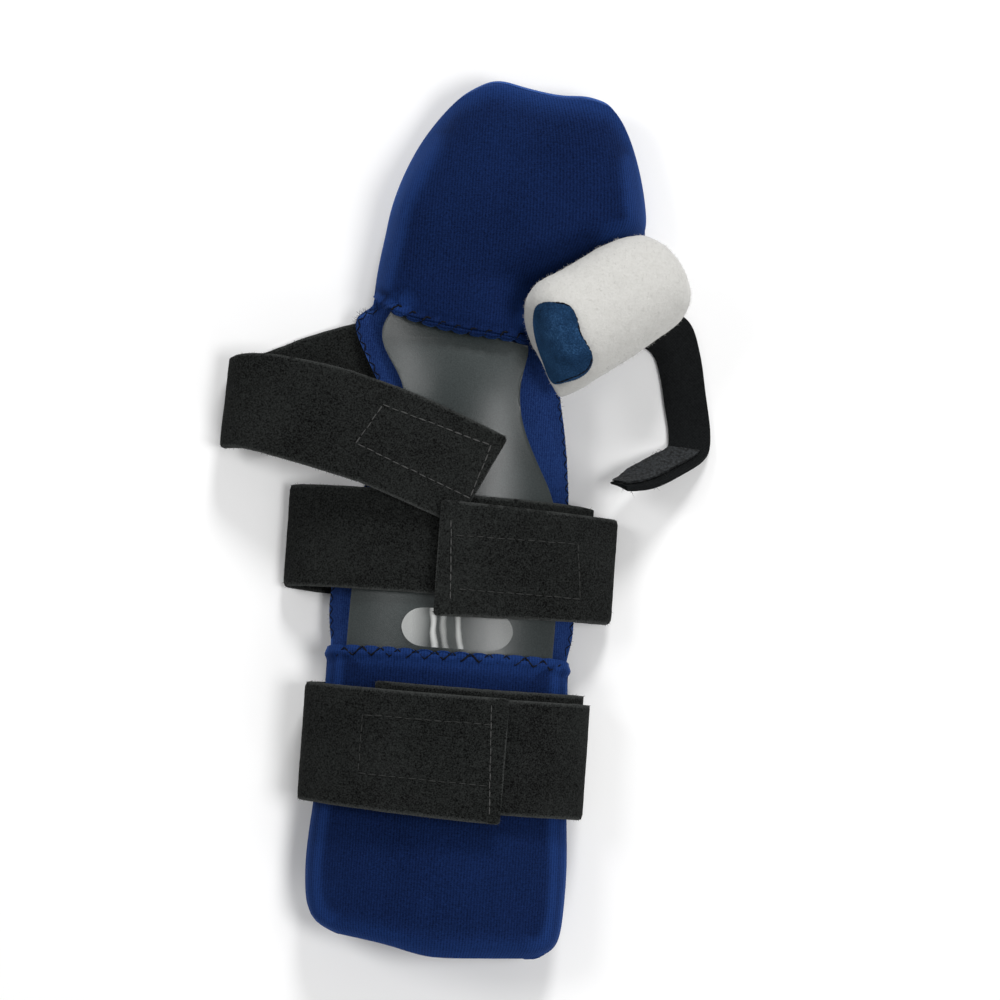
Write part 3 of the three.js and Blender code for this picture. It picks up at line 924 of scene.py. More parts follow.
def turned_folds(
    piece: bpy.types.Object, corners: Sequence[tuple[Vector, Vector, Vector]], radius: float
) -> None:
    """Draw in a band where its rims go round a fold, so that the fold's corners are round in plan.

    Args:
        piece: The band.
        corners: The corners of its outline.
        radius: Radius of the rounding.
    """
    core = radius / 2
    for corner, back, onward in corners:
        inward = (back + onward).normalized()
        half = back.angle(onward) / 2
        centre = corner + inward * (radius / math.sin(half))
        sides = [(way * math.cos(half) - inward) / math.sin(half) for way in (back, onward)]
        for vertex in piece.data.vertices:
            off = vertex.co.to_2d() - centre
            reach = off.length
            if reach < core or reach > 3 * radius or off.dot(-inward) < reach * math.sin(half):
                continue
            most = radius / (max(off.dot(side) for side in sides) / reach)
            kept = core * (1 + (reach - core) / (most - core))
            vertex.co.xy = centre + off * (min(kept, reach) / reach)


def dressed(piece: bpy.types.Object, finish: Finish, slot: str, *nodes: str) -> bpy.types.Object:
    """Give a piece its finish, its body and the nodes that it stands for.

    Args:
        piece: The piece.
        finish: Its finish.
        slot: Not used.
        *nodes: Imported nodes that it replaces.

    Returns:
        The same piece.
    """
    known = bpy.data.materials.get(finish.name)
    piece.data.materials.clear()
    piece.data.materials.append(known or finish.material())
    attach(piece, BODY)
    if nodes:
        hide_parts(*nodes)
    LOG.info("%s: %d faces", piece.name, len(piece.data.polygons))
    return piece


class Ground:
    """Finds the top of some pieces over a plan point."""

    def __init__(self, *pieces: bpy.types.Object) -> None:
        """Keep a search tree of each piece.

        Args:
            *pieces: The pieces; the first gives the middle height.
        """
        self.trees = []
        for piece in pieces:
            mesh = piece.data
            faces = [tuple(face.vertices) for face in mesh.polygons]
            self.trees.append(BVHTree.FromPolygons([vertex.co for vertex in mesh.vertices], faces))
        heights = [v.co.z for v in pieces[0].data.vertices]
        self.middle = (min(heights) + max(heights)) / 2

    def top(self, x: float, y: float) -> tuple[Vector, Vector] | None:
        """The highest point over a place, and the way it faces.

        Args:
            x: Metres across.
            y: Metres along.

        Returns:
            Point and normal, or None off the pieces.
        """
        best = None
        for tree in self.trees:
            point, normal, _, _ = tree.ray_cast(Vector((x, y, SEARCH_FROM)), Vector((0, 0, -1)))
            if point is not None and (best is None or point.z > best[0].z):
                best = (point, normal)
        return best

    def under(self, spot: Vector) -> tuple[Vector, Vector]:
        """The top over a plan point, or off the pieces the nearest place at mid height.

        Args:
            spot: The plan point.

        Returns:
            Point and normal.
        """
        found = self.top(spot.x, spot.y)
        if found:
            return found
        near = self.trees[0].find_nearest(Vector((spot.x, spot.y, self.middle)))
        return near[0], near[1]

    def reached(self, start: Vector, end: Vector) -> tuple[Vector, Vector] | None:
        """The first place on the pieces between a plan point and another.

        Args:
            start: Where the search begins.
            end: Where it leads; the search stops half way.

        Returns:
            Point and normal, or None off the pieces.
        """
        tries = 10
        for step in range(tries + 1):
            spot = start.lerp(end, step / (2 * tries))
            found = self.top(spot.x, spot.y)
            if found:
                return found
        return None


def resampled(points: Sequence[Vector], step: float) -> list[Vector]:
    """A line again, with points one step apart.

    Args:
        points: The line.
        step: Distance between the new points.

    Returns:
        The new points.
    """
    lengths = [(b - a).length for a, b in zip(points, points[1:])]
    count = max(1, round(sum(lengths) / step))
    result, index, start = [], 0, 0.0
    for k in range(count + 1):
        want = sum(lengths) * k / count
        while index < len(lengths) - 1 and want > start + lengths[index]:
            start += lengths[index]
            index += 1
        share = (want - start) / lengths[index] if lengths[index] else 0.0
        result.append(points[index].lerp(points[index + 1], min(share, 1.0)))
    return result


def rounded(ring: Sequence[Vector], passes: int) -> list[Vector]:
    """A closed outline with its corners cut.

    Args:
        ring: The outline.
        passes: How often its corners are cut.

    Returns:
        The new outline.
    """
    for _ in range(passes):
        ring = [a.lerp(b, share) for a, b in zip(ring, [*ring[1:], ring[0]]) for share in (0.25, 0.75)]
    return list(ring)


def aside_of(point: Vector, start: Vector, end: Vector) -> float:
    """How far a point is in plan from the line between two others.

    Args:
        point: The point.
        start: Start of the line.
        end: End of the line.

    Returns:
        The distance.
    """
    way, off = (end - start).xy, (point - start).xy
    share = min(max(off.dot(way) / max(way.length_squared, 1e-12), 0.0), 1.0)
    return (off - way * share).length


# Sewing


class Sewing(Enum):
    """How a line of thread is sewn."""

    RUNNING = "running"
    ZIGZAG = "zigzag"
    BLANKET = "blanket"


@dataclass
class Seam:
    """One line of sewing, laid on the pieces under it."""

    name: str
    sewing: Sewing
    line: Sequence[Plan]
    finish: Thread
    slot: str
    pitch: float = 3.5 * MM
    stitch: float = 2.6 * MM
    thread: float = 0.26 * MM
    inner: float = 3.2 * MM
    outer: float = 0.4 * MM
    lift: float = 0.3
    longest: float = 2.5
    overlap: float = 0.6
    uneven: Plan = (0.7, 1.15)
    sway: float = 0.12 * MM
    slant: float = 0.3
    tail: float = 0.25

    def marks(self) -> list[tuple[Vector, Vector, Vector]]:
        """Marks for the needle along the line.

        Returns:
            Points half a pitch apart, each with the ways along and aside.
        """
        steps = resampled([place(p) for p in self.line], self.pitch / 2)
        marks = []
        for k, point in enumerate(steps):
            along = (steps[min(k + 1, len(steps) - 1)] - steps[max(k - 1, 0)]).normalized()
            marks.append((point, along, Vector((-along.y, along.x, 0))))
        return marks

    def legs(self) -> list[tuple[Vector, Vector]]:
        """The stitches in plan.

        Returns:
            Both ends of each.
        """
        legs = []
        if self.sewing is Sewing.RUNNING:
            points = [place(p) for p in self.line]
            for a, b in zip(points, points[1:]):
                way = (b - a).normalized() * self.stitch
                legs += [(p, p + way) for p in resampled([a, b], self.pitch)[:-1]]
        elif self.sewing is Sewing.ZIGZAG:
            ends = [
                point + aside * (self.inner if k % 2 else self.outer)
                for k, (point, _, aside) in enumerate(self.marks())
            ]
            legs = list(zip(ends, ends[1:]))
        else:
            for point, along, aside in self.marks()[::2]:
                corner = point + aside * self.inner + along * (self.slant * self.pitch)
                turns = resampled([point + aside * self.outer, corner], self.inner / 4)
                legs += [*zip(turns, turns[1:]), (corner, corner + along * (self.tail * self.pitch))]
        return legs

    def build(self, ground: Ground, seed: int) -> bpy.types.Object:
        """Model one stitch, then lay copies of it along the line.

        Args:
            ground: What the thread lies on.
            seed: Start of the small unevenness from stitch to stitch.

        Returns:
            The sewn line.
        """
        dice = random.Random(seed)
        deselect()
        bpy.ops.mesh.primitive_uv_sphere_add(segments=8, ring_count=6, radius=1.0)
        model = bpy.context.object
        with editing(model, "VERT"):
            bpy.ops.mesh.select_all(action="SELECT")
            bpy.ops.transform.rotate(value=math.pi / 2, orient_axis="Y", center_override=(0, 0, 0))
        smooth(model, 180)
        places = []
        for a, b in self.legs():
            ends = [ground.reached(a, b), ground.reached(b, a)]
            if None in ends:
                continue
            (start, up_a), (end, up_b) = ends
            if (end - start).length > self.longest * max((b - a).length, self.thread):
                continue
            way = (end - start).normalized()
            up = (up_a + up_b).normalized()
            side = up.cross(way).normalized()
            up = way.cross(side)
            half = (end - start).length / 2 + self.thread * self.overlap
            thick = self.thread * dice.uniform(*self.uneven)
            basis = Matrix((way * half, side * thick, up * thick)).transposed().to_4x4()
            sway = dice.uniform(-self.sway, self.sway)
            shift = (start + end) / 2 + up * (thick * self.lift) + side * sway
            places.append(Matrix.Translation(shift) @ basis)
        return dressed(repeated(model, self.name, places), self.finish, self.slot)


@dataclass
class Fibres:
    """Loose fibres that stand out of a cloth."""

    name: str
    finish: Finish
    slot: str
    roots: Sequence[tuple[Vector, Vector]]
    length: Plan
    thick: float = 0.06 * MM
    spread: float = 0.5

    def build(self, seed: int) -> bpy.types.Object:
        """Model one tapered fibre, then set copies of it at the roots.

        Args:
            seed: Start of the fibres' lengths and leans.

        Returns:
            The fibres.
        """
        dice = random.Random(seed)
        deselect()
        bpy.ops.mesh.primitive_cone_add(vertices=3, radius1=1.0, radius2=0.3, depth=1.0)
        model = bpy.context.object
        with editing(model, "VERT"):
            bpy.ops.mesh.select_all(action="SELECT")
            bpy.ops.transform.translate(value=(0, 0, 0.5))
        places = []
        for root, way in self.roots:
            lean = Vector([dice.uniform(-self.spread, self.spread) for _ in range(3)])
            along = (way.normalized() + lean).normalized()
            turn = along.to_track_quat("Z", "Y").to_matrix().to_4x4()
            size = Matrix.Diagonal((self.thick, self.thick, dice.uniform(*self.length), 1.0))
            places.append(Matrix.Translation(root) @ turn @ size)
        return dressed(repeated(model, self.name, places), self.finish, self.slot)


def rim_roots(
    piece: bpy.types.Object, count: int, seed: int, least: float = 0.0
) -> list[tuple[Vector, Vector]]:
    """Places for fibres on a piece.

    Args:
        piece: The cloth.
        count: How many.
        seed: Start of the choice.
        least: Least rim value of the places chosen, or 0 for anywhere.

    Returns:
        Each root with the way that its cloth faces.
    """
    fit = outward(piece)
    if least:
        values = piece.data.attributes[RIM].data
        fit = [
            (vertex, normal)
            for (vertex, normal), value in zip(fit, values)
            if value.value > least and vertex.co.z > OFF_THE_FLOOR
        ]
    chosen = random.Random(seed).sample(fit, min(count, len(fit)))
    return [(vertex.co.copy(), normal) for vertex, normal in chosen]


def hem_depth(point: Vector, hem: Callable[[float], float], inward: int) -> float:
    """How many millimetres a point lies inside a hem, whose pocket is on the inward side."""
    return inward * (point.y / MM - hem(point.x / MM) - HEM_FROM_ORIGIN)


# Sub-assemblies


@dataclass
class SubAssembly(ABC):
    """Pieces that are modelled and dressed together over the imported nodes."""

    nodes: dict[str, bpy.types.Object]

    @abstractmethod
    def build(self) -> list[bpy.types.Object]:
        """Model and dress the pieces.

        Returns:
            The pieces.
        """


@dataclass
class Cover(SubAssembly):
    """Neoprene cover: the full-length panel and the two pockets, with their hems and edge sewing."""

    rim: float = 1.1 * MM
    pocket_rim: float = 0.88 * MM
    # How far in from the outline the panel and the pockets get their painted sheen.
    panel_sheen_reach: float = 1.6 * MM
    pocket_sheen_reach: float = 9 * MM
    hem_dark: float = 3.0
    hem_low: float = 111.6
    hem_climb: float = 10.6
    hem_flat_from: float = 12.0
    hem_reach: float = 47.0
    hem_power: float = 2.1
    hand_span: tuple[int, int] = (-29, 23)
    droop: float = 2.2
    droop_reach: float = 42.6
    droop_power: int = 6
    forearm_span: tuple[int, int, int] = (41, -41, -1)
    pinch: float = 1.0 * MM
    pinch_reach: float = 0.9 * MM
    pinch_ends: float = 5.0
    pinch_sink: float = 0.75
    bead: float = 0.9 * MM
    bead_middle: float = 1.8
    bead_width: float = 1.5
    bead_ends: float = 8.0
    groove: float = 0.4
    groove_middle: float = 4.8
    groove_width: float = 1.2
    puff: float = 0.35 * MM
    puff_middle: float = 4.2
    puff_width: float = 2.2
    seat: float = 0.45 * MM
    soft_corner: Plan = (-35.1, 124.9)
    soft_reach: float = 5 * MM
    margin_width: float = 12 * MM
    left_margin: tuple[Plan, ...] = (
        (-33.6, 121.2), (-37.6, 119.8), (-40.2, 118.2), (-41.2, 114.5), (-40.0, 110.5), (-37.0, 105.0),
        (-33.2, 98.0), (-29.4, 91.0), (-28.0, 84.0), (-29.0, 74.0), (-32.6, 61.0), (-37.4, 47.0),
        (-41.2, 34.0), (-43.2, 24.0), (-44.0, 14.0), (-43.2, 6.0), (-42.2, 1.5),
    )
    right_margin: tuple[Plan, ...] = (
        (42.8, 1.0), (44.4, 5.0), (45.0, 13.0), (43.0, 26.0), (41.4, 40.0), (40.2, 56.0),
        (38.8, 69.0), (37.2, 80.0), (35.2, 89.0), (33.6, 97.0), (34.6, 103.0),
    )
    frayed_corner: tuple[Plan, ...] = ((-33.6, 121.6), (-40.4, 118.6), (-41.6, 114.0))

    def hand_hem(self, x: float) -> float:
        """Where the hand pocket's hem is at a place across."""
        climb = max(self.hem_flat_from - x, 0.0) / self.hem_reach
        return self.hem_low + self.hem_climb * climb**self.hem_power

    def forearm_hem(self, x: float) -> float:
        """Where the forearm pocket's hem is at a place across."""
        return -self.droop * (abs(x) / self.droop_reach) ** self.droop_power

    def hem_seams(self) -> tuple[Seam, Seam]:
        """The sewing of both hems.

        Returns:
            The hand pocket's seam and the forearm pocket's, each with its pocket on its left.
        """
        hand = [(x, self.hand_hem(x)) for x in range(*self.hand_span)]
        forearm = [(x, self.forearm_hem(x)) for x in range(*self.forearm_span)]
        return (
            Seam(
                "hand_hem_thread", Sewing.BLANKET, hand, DARK_THREAD, "neoprene_cover",
                pitch=5.8 * MM, inner=3.4 * MM, outer=0.1 * MM, thread=0.36 * MM, lift=0.5,
            ),
            Seam(
                "forearm_hem_thread", Sewing.ZIGZAG, forearm, DARK_THREAD, "neoprene_cover",
                pitch=6.5 * MM, inner=3.3 * MM, outer=0.3 * MM, thread=0.42 * MM, lift=0.6,
            ),
        )

    def build(self) -> list[bpy.types.Object]:
        """Model and dress the panel, the pockets and their sewing.

        Returns:
            The pieces.
        """
        panel = carried(self.nodes, "back_panel", "panel_cloth")
        softened(panel, levels=2, bevel=self.rim, steps=3)
        # Painted sheen along the panel's outline.
        painted_sheen_marked(panel, self.panel_sheen_reach)
        rippled(panel, scale=55, depth=0.2 * MM)
        self.puffed(panel)
        dressed(panel, PANEL_BLUE, "neoprene_panel", "back_panel")

        hand = self.pocket(
            "hand_pocket", "hand_pocket_cloth", (0.108, 0.104), 0.0085,
            lambda point: hem_depth(point, self.hand_hem, inward=1) < self.hem_dark,
        )
        forearm = self.pocket("forearm_pocket", "forearm_pocket_cloth", (0.102, 0.118), 0.0117)
        eased(hand, self.soft_corner, self.soft_reach)
        hand_seam, forearm_seam = self.hem_seams()
        self.beaded(hand, self.hand_hem, inward=1)
        self.beaded(forearm, self.forearm_hem, inward=-1)
        self.pulled_in(hand, hand_seam, self.hand_hem, inward=1)
        self.pulled_in(forearm, forearm_seam, self.forearm_hem, inward=-1)
        made = [panel, hand, forearm]
        made += [hand_seam.build(Ground(hand), seed=20), forearm_seam.build(Ground(forearm), seed=21)]
        margins = [("left_edge_thread", self.left_margin), ("right_edge_thread", self.right_margin)]
        for seed, (name, line) in enumerate(margins, start=30):
            edge = Seam(
                name, Sewing.ZIGZAG, line, DARK_THREAD, "neoprene_panel",
                pitch=4.2 * MM, inner=1.3 * MM, outer=0.0, thread=0.25 * MM,
            )
            made.append(edge.build(Ground(panel), seed))
        sides = [root for _, line in margins for root in self.frayed(panel, line, 1.4 * MM)]
        corner = self.frayed(panel, self.frayed_corner, 0.2 * MM)
        for name, roots, length in [
            ("edge_fray", sides, (0.5 * MM, 1.2 * MM)),
            ("corner_fray", corner, (0.8 * MM, 2.6 * MM)),
        ]:
            made.append(Fibres(name, DARK_THREAD, "neoprene_panel", roots, length).build(seed=33))
        return made

    def frayed(
        self, panel: bpy.types.Object, line: Sequence[Plan], step: float
    ) -> list[tuple[Vector, Vector]]:
        """Roots of the fibres along one of the panel's free edges.

        Args:
            panel: The panel.
            line: The edge, with the panel on its left.
            step: Distance between fibres.

        Returns:
            Each root with the way that its fibre leans.
        """
        ground, roots, lean = Ground(panel), [], Vector((0, 0, 0.4))
        steps = resampled([place(p) for p in line], step)
        for a, b in zip(steps, steps[1:]):
            along = (b - a).normalized()
            aside = Vector((along.y, -along.x, 0.0))
            found = ground.reached(a, a - aside * self.margin_width)
            if found:
                roots.append((found[0], aside + lean))
        return roots

    def pocket(
        self, node: str, name: str, flat: Plan, area: float, skip: Callable[[Vector], bool] | None = None
    ) -> bpy.types.Object:
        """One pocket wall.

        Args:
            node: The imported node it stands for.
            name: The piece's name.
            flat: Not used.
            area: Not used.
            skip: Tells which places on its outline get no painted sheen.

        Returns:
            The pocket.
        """
        pocket = carried(self.nodes, node, name)
        softened(pocket, levels=3, bevel=self.pocket_rim, steps=3)
        # Painted sheen along the pocket's outline, away from its hem.
        painted_sheen_marked(pocket, self.pocket_sheen_reach, skip)
        for vertex, normal in outward(pocket):
            vertex.co.z -= self.seat * ramp(-normal.z, 0.2, 0.6)
        rippled(pocket, scale=38, depth=0.55 * MM)
        rippled(pocket, scale=120, depth=0.12 * MM)
        dressed(pocket, COVER_BLUE, "neoprene_cover", node)
        return pocket

    def beaded(self, pocket: bpy.types.Object, hem: Callable[[float], float], inward: int) -> None:
        """Round a hem into a bead, with a groove behind it.

        Args:
            pocket: The pocket.
            hem: Where its hem is at a place across.
            inward: Which way along the arm the pocket lies.
        """
        for vertex, normal in outward(pocket):
            depth = hem_depth(vertex.co, hem, inward)
            if depth < self.bead_ends and normal.z > 0.1:
                ridge = bell(depth, self.bead_middle, self.bead_width)
                groove = self.groove * bell(depth, self.groove_middle, self.groove_width)
                vertex.co += normal * (self.bead * (ridge - groove))

    def pulled_in(
        self, pocket: bpy.types.Object, seam: Seam, hem: Callable[[float], float], inward: int
    ) -> None:
        """Draw a hem in where its thread crosses it, so that it swells between.

        Args:
            pocket: The pocket.
            seam: Its hem's sewing.
            hem: Where its hem is at a place across.
            inward: Which way along the arm the pocket lies.
        """
        legs = seam.legs()
        for vertex, normal in outward(pocket):
            depth = hem_depth(vertex.co, hem, inward)
            if depth < self.pinch_ends:
                near = min(aside_of(vertex.co, a, b) for a, b in legs)
                pull = self.pinch * bell(near, 0.0, self.pinch_reach)
                vertex.co.y += inward * pull * ramp(2 - depth, 0, 2)
                vertex.co.z -= self.pinch_sink * pull * ramp(normal.z, -0.2, 0.5)

    def puffed(self, panel: bpy.types.Object) -> None:
        """Swell the panel's free margins between the shell and their sewn edges.

        Args:
            panel: The panel.
        """
        spots = []
        for line in (self.left_margin, self.right_margin):
            spots += resampled([place(p) for p in line], 2 * MM)
        for vertex, normal in outward(panel):
            if normal.z > 0.2:
                near = min(math.hypot(vertex.co.x - s.x, vertex.co.y - s.y) for s in spots) / MM
                vertex.co += normal * (self.puff * bell(near, self.puff_middle, self.puff_width))


@dataclass
class Shell(SubAssembly):
    """Moulded shell with softened edges, and the clear label that lies on it."""

    edge: float = 0.7 * MM
    label_edge: float = 0.12 * MM

    def build(self) -> list[bpy.types.Object]:
        """Model and dress the shell and its label.

        Returns:
            The pieces.
        """
        plate = carried(self.nodes, "shell", "shell_plate")
        softened(plate, levels=2, bevel=self.edge, steps=3)
        rim_marked(plate)
        rippled(plate, scale=30, depth=0.2 * MM)
        dressed(plate, SHELL_GREY, "shell_grey", "shell")
        label = carried(self.nodes, "size_label", "size_label_film")
        softened(label, levels=2, bevel=self.label_edge, steps=2)
        dressed(label, LABEL_CLEAR, "label_film", "size_label")
        return [plate, label]


@dataclass
class WrapStraps(SubAssembly):
    """Three wide loop-pile straps with sewn boxes."""

    rim: float = 0.55 * MM
    corner: float = 1.5 * MM
    fold: float = 2.4 * MM
    thickest: float = 2.9 * MM
    nap: float = 0.09 * MM
    lint: int = 500
    lint_rim: float = 0.08
    flats: tuple[tuple[str, Plan], ...] = (
        ("wrist_strap", (0.036, 0.19)),
        ("middle_strap", (0.0385, 0.38)),
        ("forearm_strap", (0.0415, 0.515)),
    )

    def seams(self) -> list[tuple[str, Seam]]:
        """The rows of stitches.

        Returns:
            Each row, with the strap that it is sewn on.
        """
        close = {"pitch": 3.1 * MM, "stitch": 2.5 * MM}
        wrist = [(-28.8, 86.0), (10.7, 74.0), (4.5, 54.8), (-37.5, 71.7), (-28.8, 86.0)]
        middle = [(0.6, 41.3), (44.2, 41.4), (46.3, 21.8), (2.0, 22.3)]
        forearm = [(17.6, -24.9), (-28.2, -24.5), (-28.2, -45.3), (18.4, -46.5)]
        rows = [
            ("wrist_strap", "box", wrist, PALE_THREAD, {}),
            ("middle_strap", "end", [(-1.6, 46.4), (0.2, 18.0)], PALE_THREAD, close),
            ("middle_strap", "box", middle, DIM_THREAD, {}),
            ("forearm_strap", "end", [(17.2, -18.0), (19.2, -57.0)], PALE_THREAD, close),
            ("forearm_strap", "box", forearm, DIM_THREAD, {}),
        ]
        return [
            (strap, Seam(f"{strap}_{row}_thread", Sewing.RUNNING, line, thread, "strap_pile", **more))
            for strap, row, line, thread, more in rows
        ]

    def build(self) -> list[bpy.types.Object]:
        """Model and dress the straps, their lint and their stitches.

        Returns:
            The pieces.
        """
        bands, made = {}, []
        for node, flat in self.flats:
            band = bands[node] = carried(self.nodes, node, f"{node}_band")
            corners = outline_corners(band)
            turned_corners(band, self.corner, self.thickest)
            softened(band, levels=3, bevel=self.rim, steps=2)
            turned_folds(band, corners, self.fold)
            rim_marked(band)
            self.napped(band)
            dressed(band, STRAP_BLACK, "strap_pile", node)
            roots = rim_roots(band, self.lint, seed=70, least=self.lint_rim)
            lint = Fibres(f"{node}_lint", LINT_GREY, "strap_pile", roots, (0.3 * MM, 0.9 * MM))
            made += [band, lint.build(seed=71)]
        for seed, (strap, seam) in enumerate(self.seams(), start=40):
            made.append(seam.build(Ground(bands[strap]), seed))
        return made

    def napped(self, band: bpy.types.Object) -> None:
        """Raise the uneven nap of the pile on a strap.

        Args:
            band: The strap.
        """
        for vertex, normal in outward(band):
            rise = noise.noise(vertex.co * 420) + 0.8 * noise.noise(vertex.co * 110)
            vertex.co += normal * (self.nap * rise)


@dataclass
class ThumbStrap(SubAssembly):
    """Narrow strap with a hook patch on its curled end, and the loose fibres that the hooks have caught."""

    rim: float = 0.35 * MM
    patch_rim: float = 0.2 * MM
    patch_nap: float = 0.14 * MM
    tip: Plan = (54.4, 64.6)
    taper: float = 0.6
    taper_reach: float = 9 * MM
    tip_reach: float = 6 * MM
    fluff: int = 120
    hairs: tuple[Plan, ...] = ((59.0, 61.0), (62.0, 61.6), (70.7, 62.7))
    hair_way: Spot = (0.3, -1.2, -0.3)

    def build(self) -> list[bpy.types.Object]:
        """Model and dress the strap, its hook patch and the caught fibres.

        Returns:
            The pieces.
        """
        band = carried(self.nodes, "thumb_strap", "thumb_strap_band")
        softened(band, levels=3, bevel=self.rim, steps=2)
        self.pointed(band)
        dressed(band, THUMB_BLACK, "thumb_webbing", "thumb_strap")
        patch = carried(self.nodes, "thumb_strap_hook", "hook_patch")
        softened(patch, levels=3, bevel=self.patch_rim, steps=2)
        self.pointed(patch)
        for vertex, normal in outward(patch):
            vertex.co += normal * (self.patch_nap * noise.noise(vertex.co * 900))
        dressed(patch, HOOK_GREY, "hook_patch", "thumb_strap_hook")
        roots = rim_roots(patch, self.fluff, seed=80)
        ground, upward = Ground(band), Vector((0, 12 * MM, 0))
        for hair in self.hairs:
            found = ground.reached(place(hair), place(hair) + upward)
            if found:
                roots += [(found[0], Vector(self.hair_way))] * 2
        caught = Fibres(
            "caught_lint", LINT_GREY, "hook_patch", roots, (0.8 * MM, 2.6 * MM), thick=0.08 * MM, spread=0.9
        )
        return [band, patch, caught.build(seed=81)]

    def pointed(self, piece: bpy.types.Object) -> None:
        """Draw a piece of the strap to a soft point at its free end.

        Args:
            piece: The piece.
        """
        tip = place(self.tip)
        for vertex in piece.data.vertices:
            near = math.hypot(vertex.co.x - tip.x, vertex.co.y - tip.y)
            share = self.taper * ramp(self.taper_reach - near, 0, self.taper_reach)
            vertex.co.y += (tip.y - vertex.co.y) * share
        eased(piece, self.tip, self.tip_reach)


@dataclass
class ThumbRoll(SubAssembly):
    """Soft fleece roll that the thumb rests on, with a velour tab on its raised end."""

    middle: Spot = (50.6, 126.6, 32.4)
    turn: float = 32.0
    tilt: float = 20.0
    far_from: float = -5 * MM
    far_fully: float = 20 * MM
    half_width: float = 10 * MM
    fuller: float = 0.15
    slimmer: float = 0.05
    fill: float = 1.9 * MM
    fill_middle: float = 3 * MM
    fill_reach: float = 18 * MM
    fill_side: float = 12 * MM
    longer: float = 1.7 * MM
    longer_from: float = 10 * MM
    longer_fully: float = 26 * MM
    corner: Spot = (33.6, 92.2, 31.0)
    corner_reach: float = 13 * MM
    corner_power: float = 1.5
    voxel: float = 3.2 * MM
    start_size: float = 0.97
    pressure: float = 4.0
    frames: int = 16
    swell: float = 1.5 * MM
    uneven: float = 0.3 * MM
    nap: int = 2600
    tab_lift: float = 0.3 * MM
    tab_thick: float = 1.4 * MM
    tab_puff: float = 0.9 * MM
    tab_puff_reach: float = 6 * MM
    # Where the dark edge line with its painted gap shadow runs on the tab.
    tab_edge_in: float = 0.45 * MM
    tab_free_side: tuple[int, int] = (2, 30)
    tab_outline: tuple[Plan, ...] = (
        (23.2, 122.9), (24.4, 124.9), (27.2, 125.5), (30.7, 125.2), (33.8, 125.0), (36.4, 123.0),
        (38.0, 119.9), (39.4, 115.1), (41.8, 111.5), (44.2, 108.3), (44.5, 105.2), (43.0, 102.1),
        (40.4, 100.1), (37.4, 99.0), (34.2, 97.7), (32.1, 97.4), (30.1, 100.1), (28.2, 104.9),
        (26.0, 109.3), (24.3, 113.9), (23.2, 118.6),
    )

    def frame(self) -> Matrix:
        """The roll's own frame.

        Returns:
            The way from it to the part's frame: along it, aside and up, about its middle.
        """
        turn, tilt = math.radians(self.turn), math.radians(self.tilt)
        level = Vector((math.cos(turn), math.sin(turn), 0))
        along = level * math.cos(tilt) - Vector((0, 0, math.sin(tilt)))
        up = level * math.sin(tilt) + Vector((0, 0, math.cos(tilt)))
        aside = up.cross(along)
        basis = Matrix((along, aside, up)).transposed().to_4x4()
        return Matrix.Translation(raised(self.middle)) @ basis

    def build(self) -> list[bpy.types.Object]:
        """Model and dress the roll, its tab and its nap.

        Returns:
            The pieces.
        """
        roll = carried(self.nodes, "thumb_roll", "roll_fleece")
        self.plump(roll)
        self.shaped(roll)
        modified(roll, "SUBSURF", levels=2, render_levels=2)
        for vertex, normal in outward(roll):
            rise = 0.5 * noise.noise(vertex.co * 90) + 0.35 * noise.noise(vertex.co * 420)
            vertex.co += normal * (self.uneven * rise)
        smooth(roll, 180)
        dressed(roll, ROLL_WHITE, "fleece", "thumb_roll")
        tab = self.tab(Ground(roll))
        roots = rim_roots(roll, self.nap, seed=61)
        nap = Fibres(
            "roll_nap", ROLL_WHITE, "fleece", roots, (0.4 * MM, 1.1 * MM), thick=0.05 * MM, spread=0.8
        )
        # A dark line along the tab's free side: its dark cut edge with a painted gap shadow.
        edge = self.tab_dark_edge_and_shadow().build(Ground(roll, tab), seed=60)
        return [roll, tab, edge, nap.build(seed=62)]

    def tab_dark_edge_and_shadow(self) -> Seam:
        """Dark line along the tab's free side, laid as a row of thread: the velour's dark cut edge with a
        painted shadow of the gap under the tab.

        Returns:
            The seam.
        """
        outline = rounded([place(p) for p in self.tab_outline], passes=1)
        centre = sum(outline, Vector()) / len(outline)
        line = []
        for point in outline[slice(*self.tab_free_side)]:
            spot = point - (point - centre).normalized() * self.tab_edge_in
            line.append((spot.x / MM, spot.y / MM - HEM_FROM_ORIGIN))
        return Seam(
            "roll_tab_dark_edge_and_shadow", Sewing.RUNNING, line, DARK_THREAD, "velour_tab",
            pitch=1.4 * MM, stitch=1.5 * MM, thread=0.32 * MM, lift=0.0,
        )

    def plump(self, roll: bpy.types.Object) -> None:
        """Swell the cover over its foam with a short cloth run, then hold it near its start.

        Args:
            roll: The roll's cover.
        """
        roll.data.remesh_voxel_size = self.voxel
        take(roll)
        bpy.ops.object.voxel_remesh()
        inside = self.frame()
        outside = inside.inverted()
        start = [vertex.co.copy() for vertex in roll.data.vertices]
        for vertex in roll.data.vertices:
            vertex.co = inside @ (outside @ vertex.co * self.start_size)
        cloth = roll.modifiers.new("swell", "CLOTH")
        cloth.settings.use_pressure = True
        cloth.settings.uniform_pressure_force = self.pressure
        cloth.settings.effector_weights.gravity = 0.0
        cloth.settings.quality = 5
        scene = bpy.context.scene
        for number in range(1, self.frames + 1):
            scene.frame_set(number)
        shape = roll.evaluated_get(bpy.context.evaluated_depsgraph_get()).data
        swollen = [vertex.co.copy() for vertex in shape.vertices]
        roll.modifiers.remove(cloth)
        scene.frame_set(1)
        for vertex, first, last in zip(roll.data.vertices, start, swollen):
            move = last - first
            vertex.co = first + move * min(1.0, self.swell / max(move.length, 1e-9))

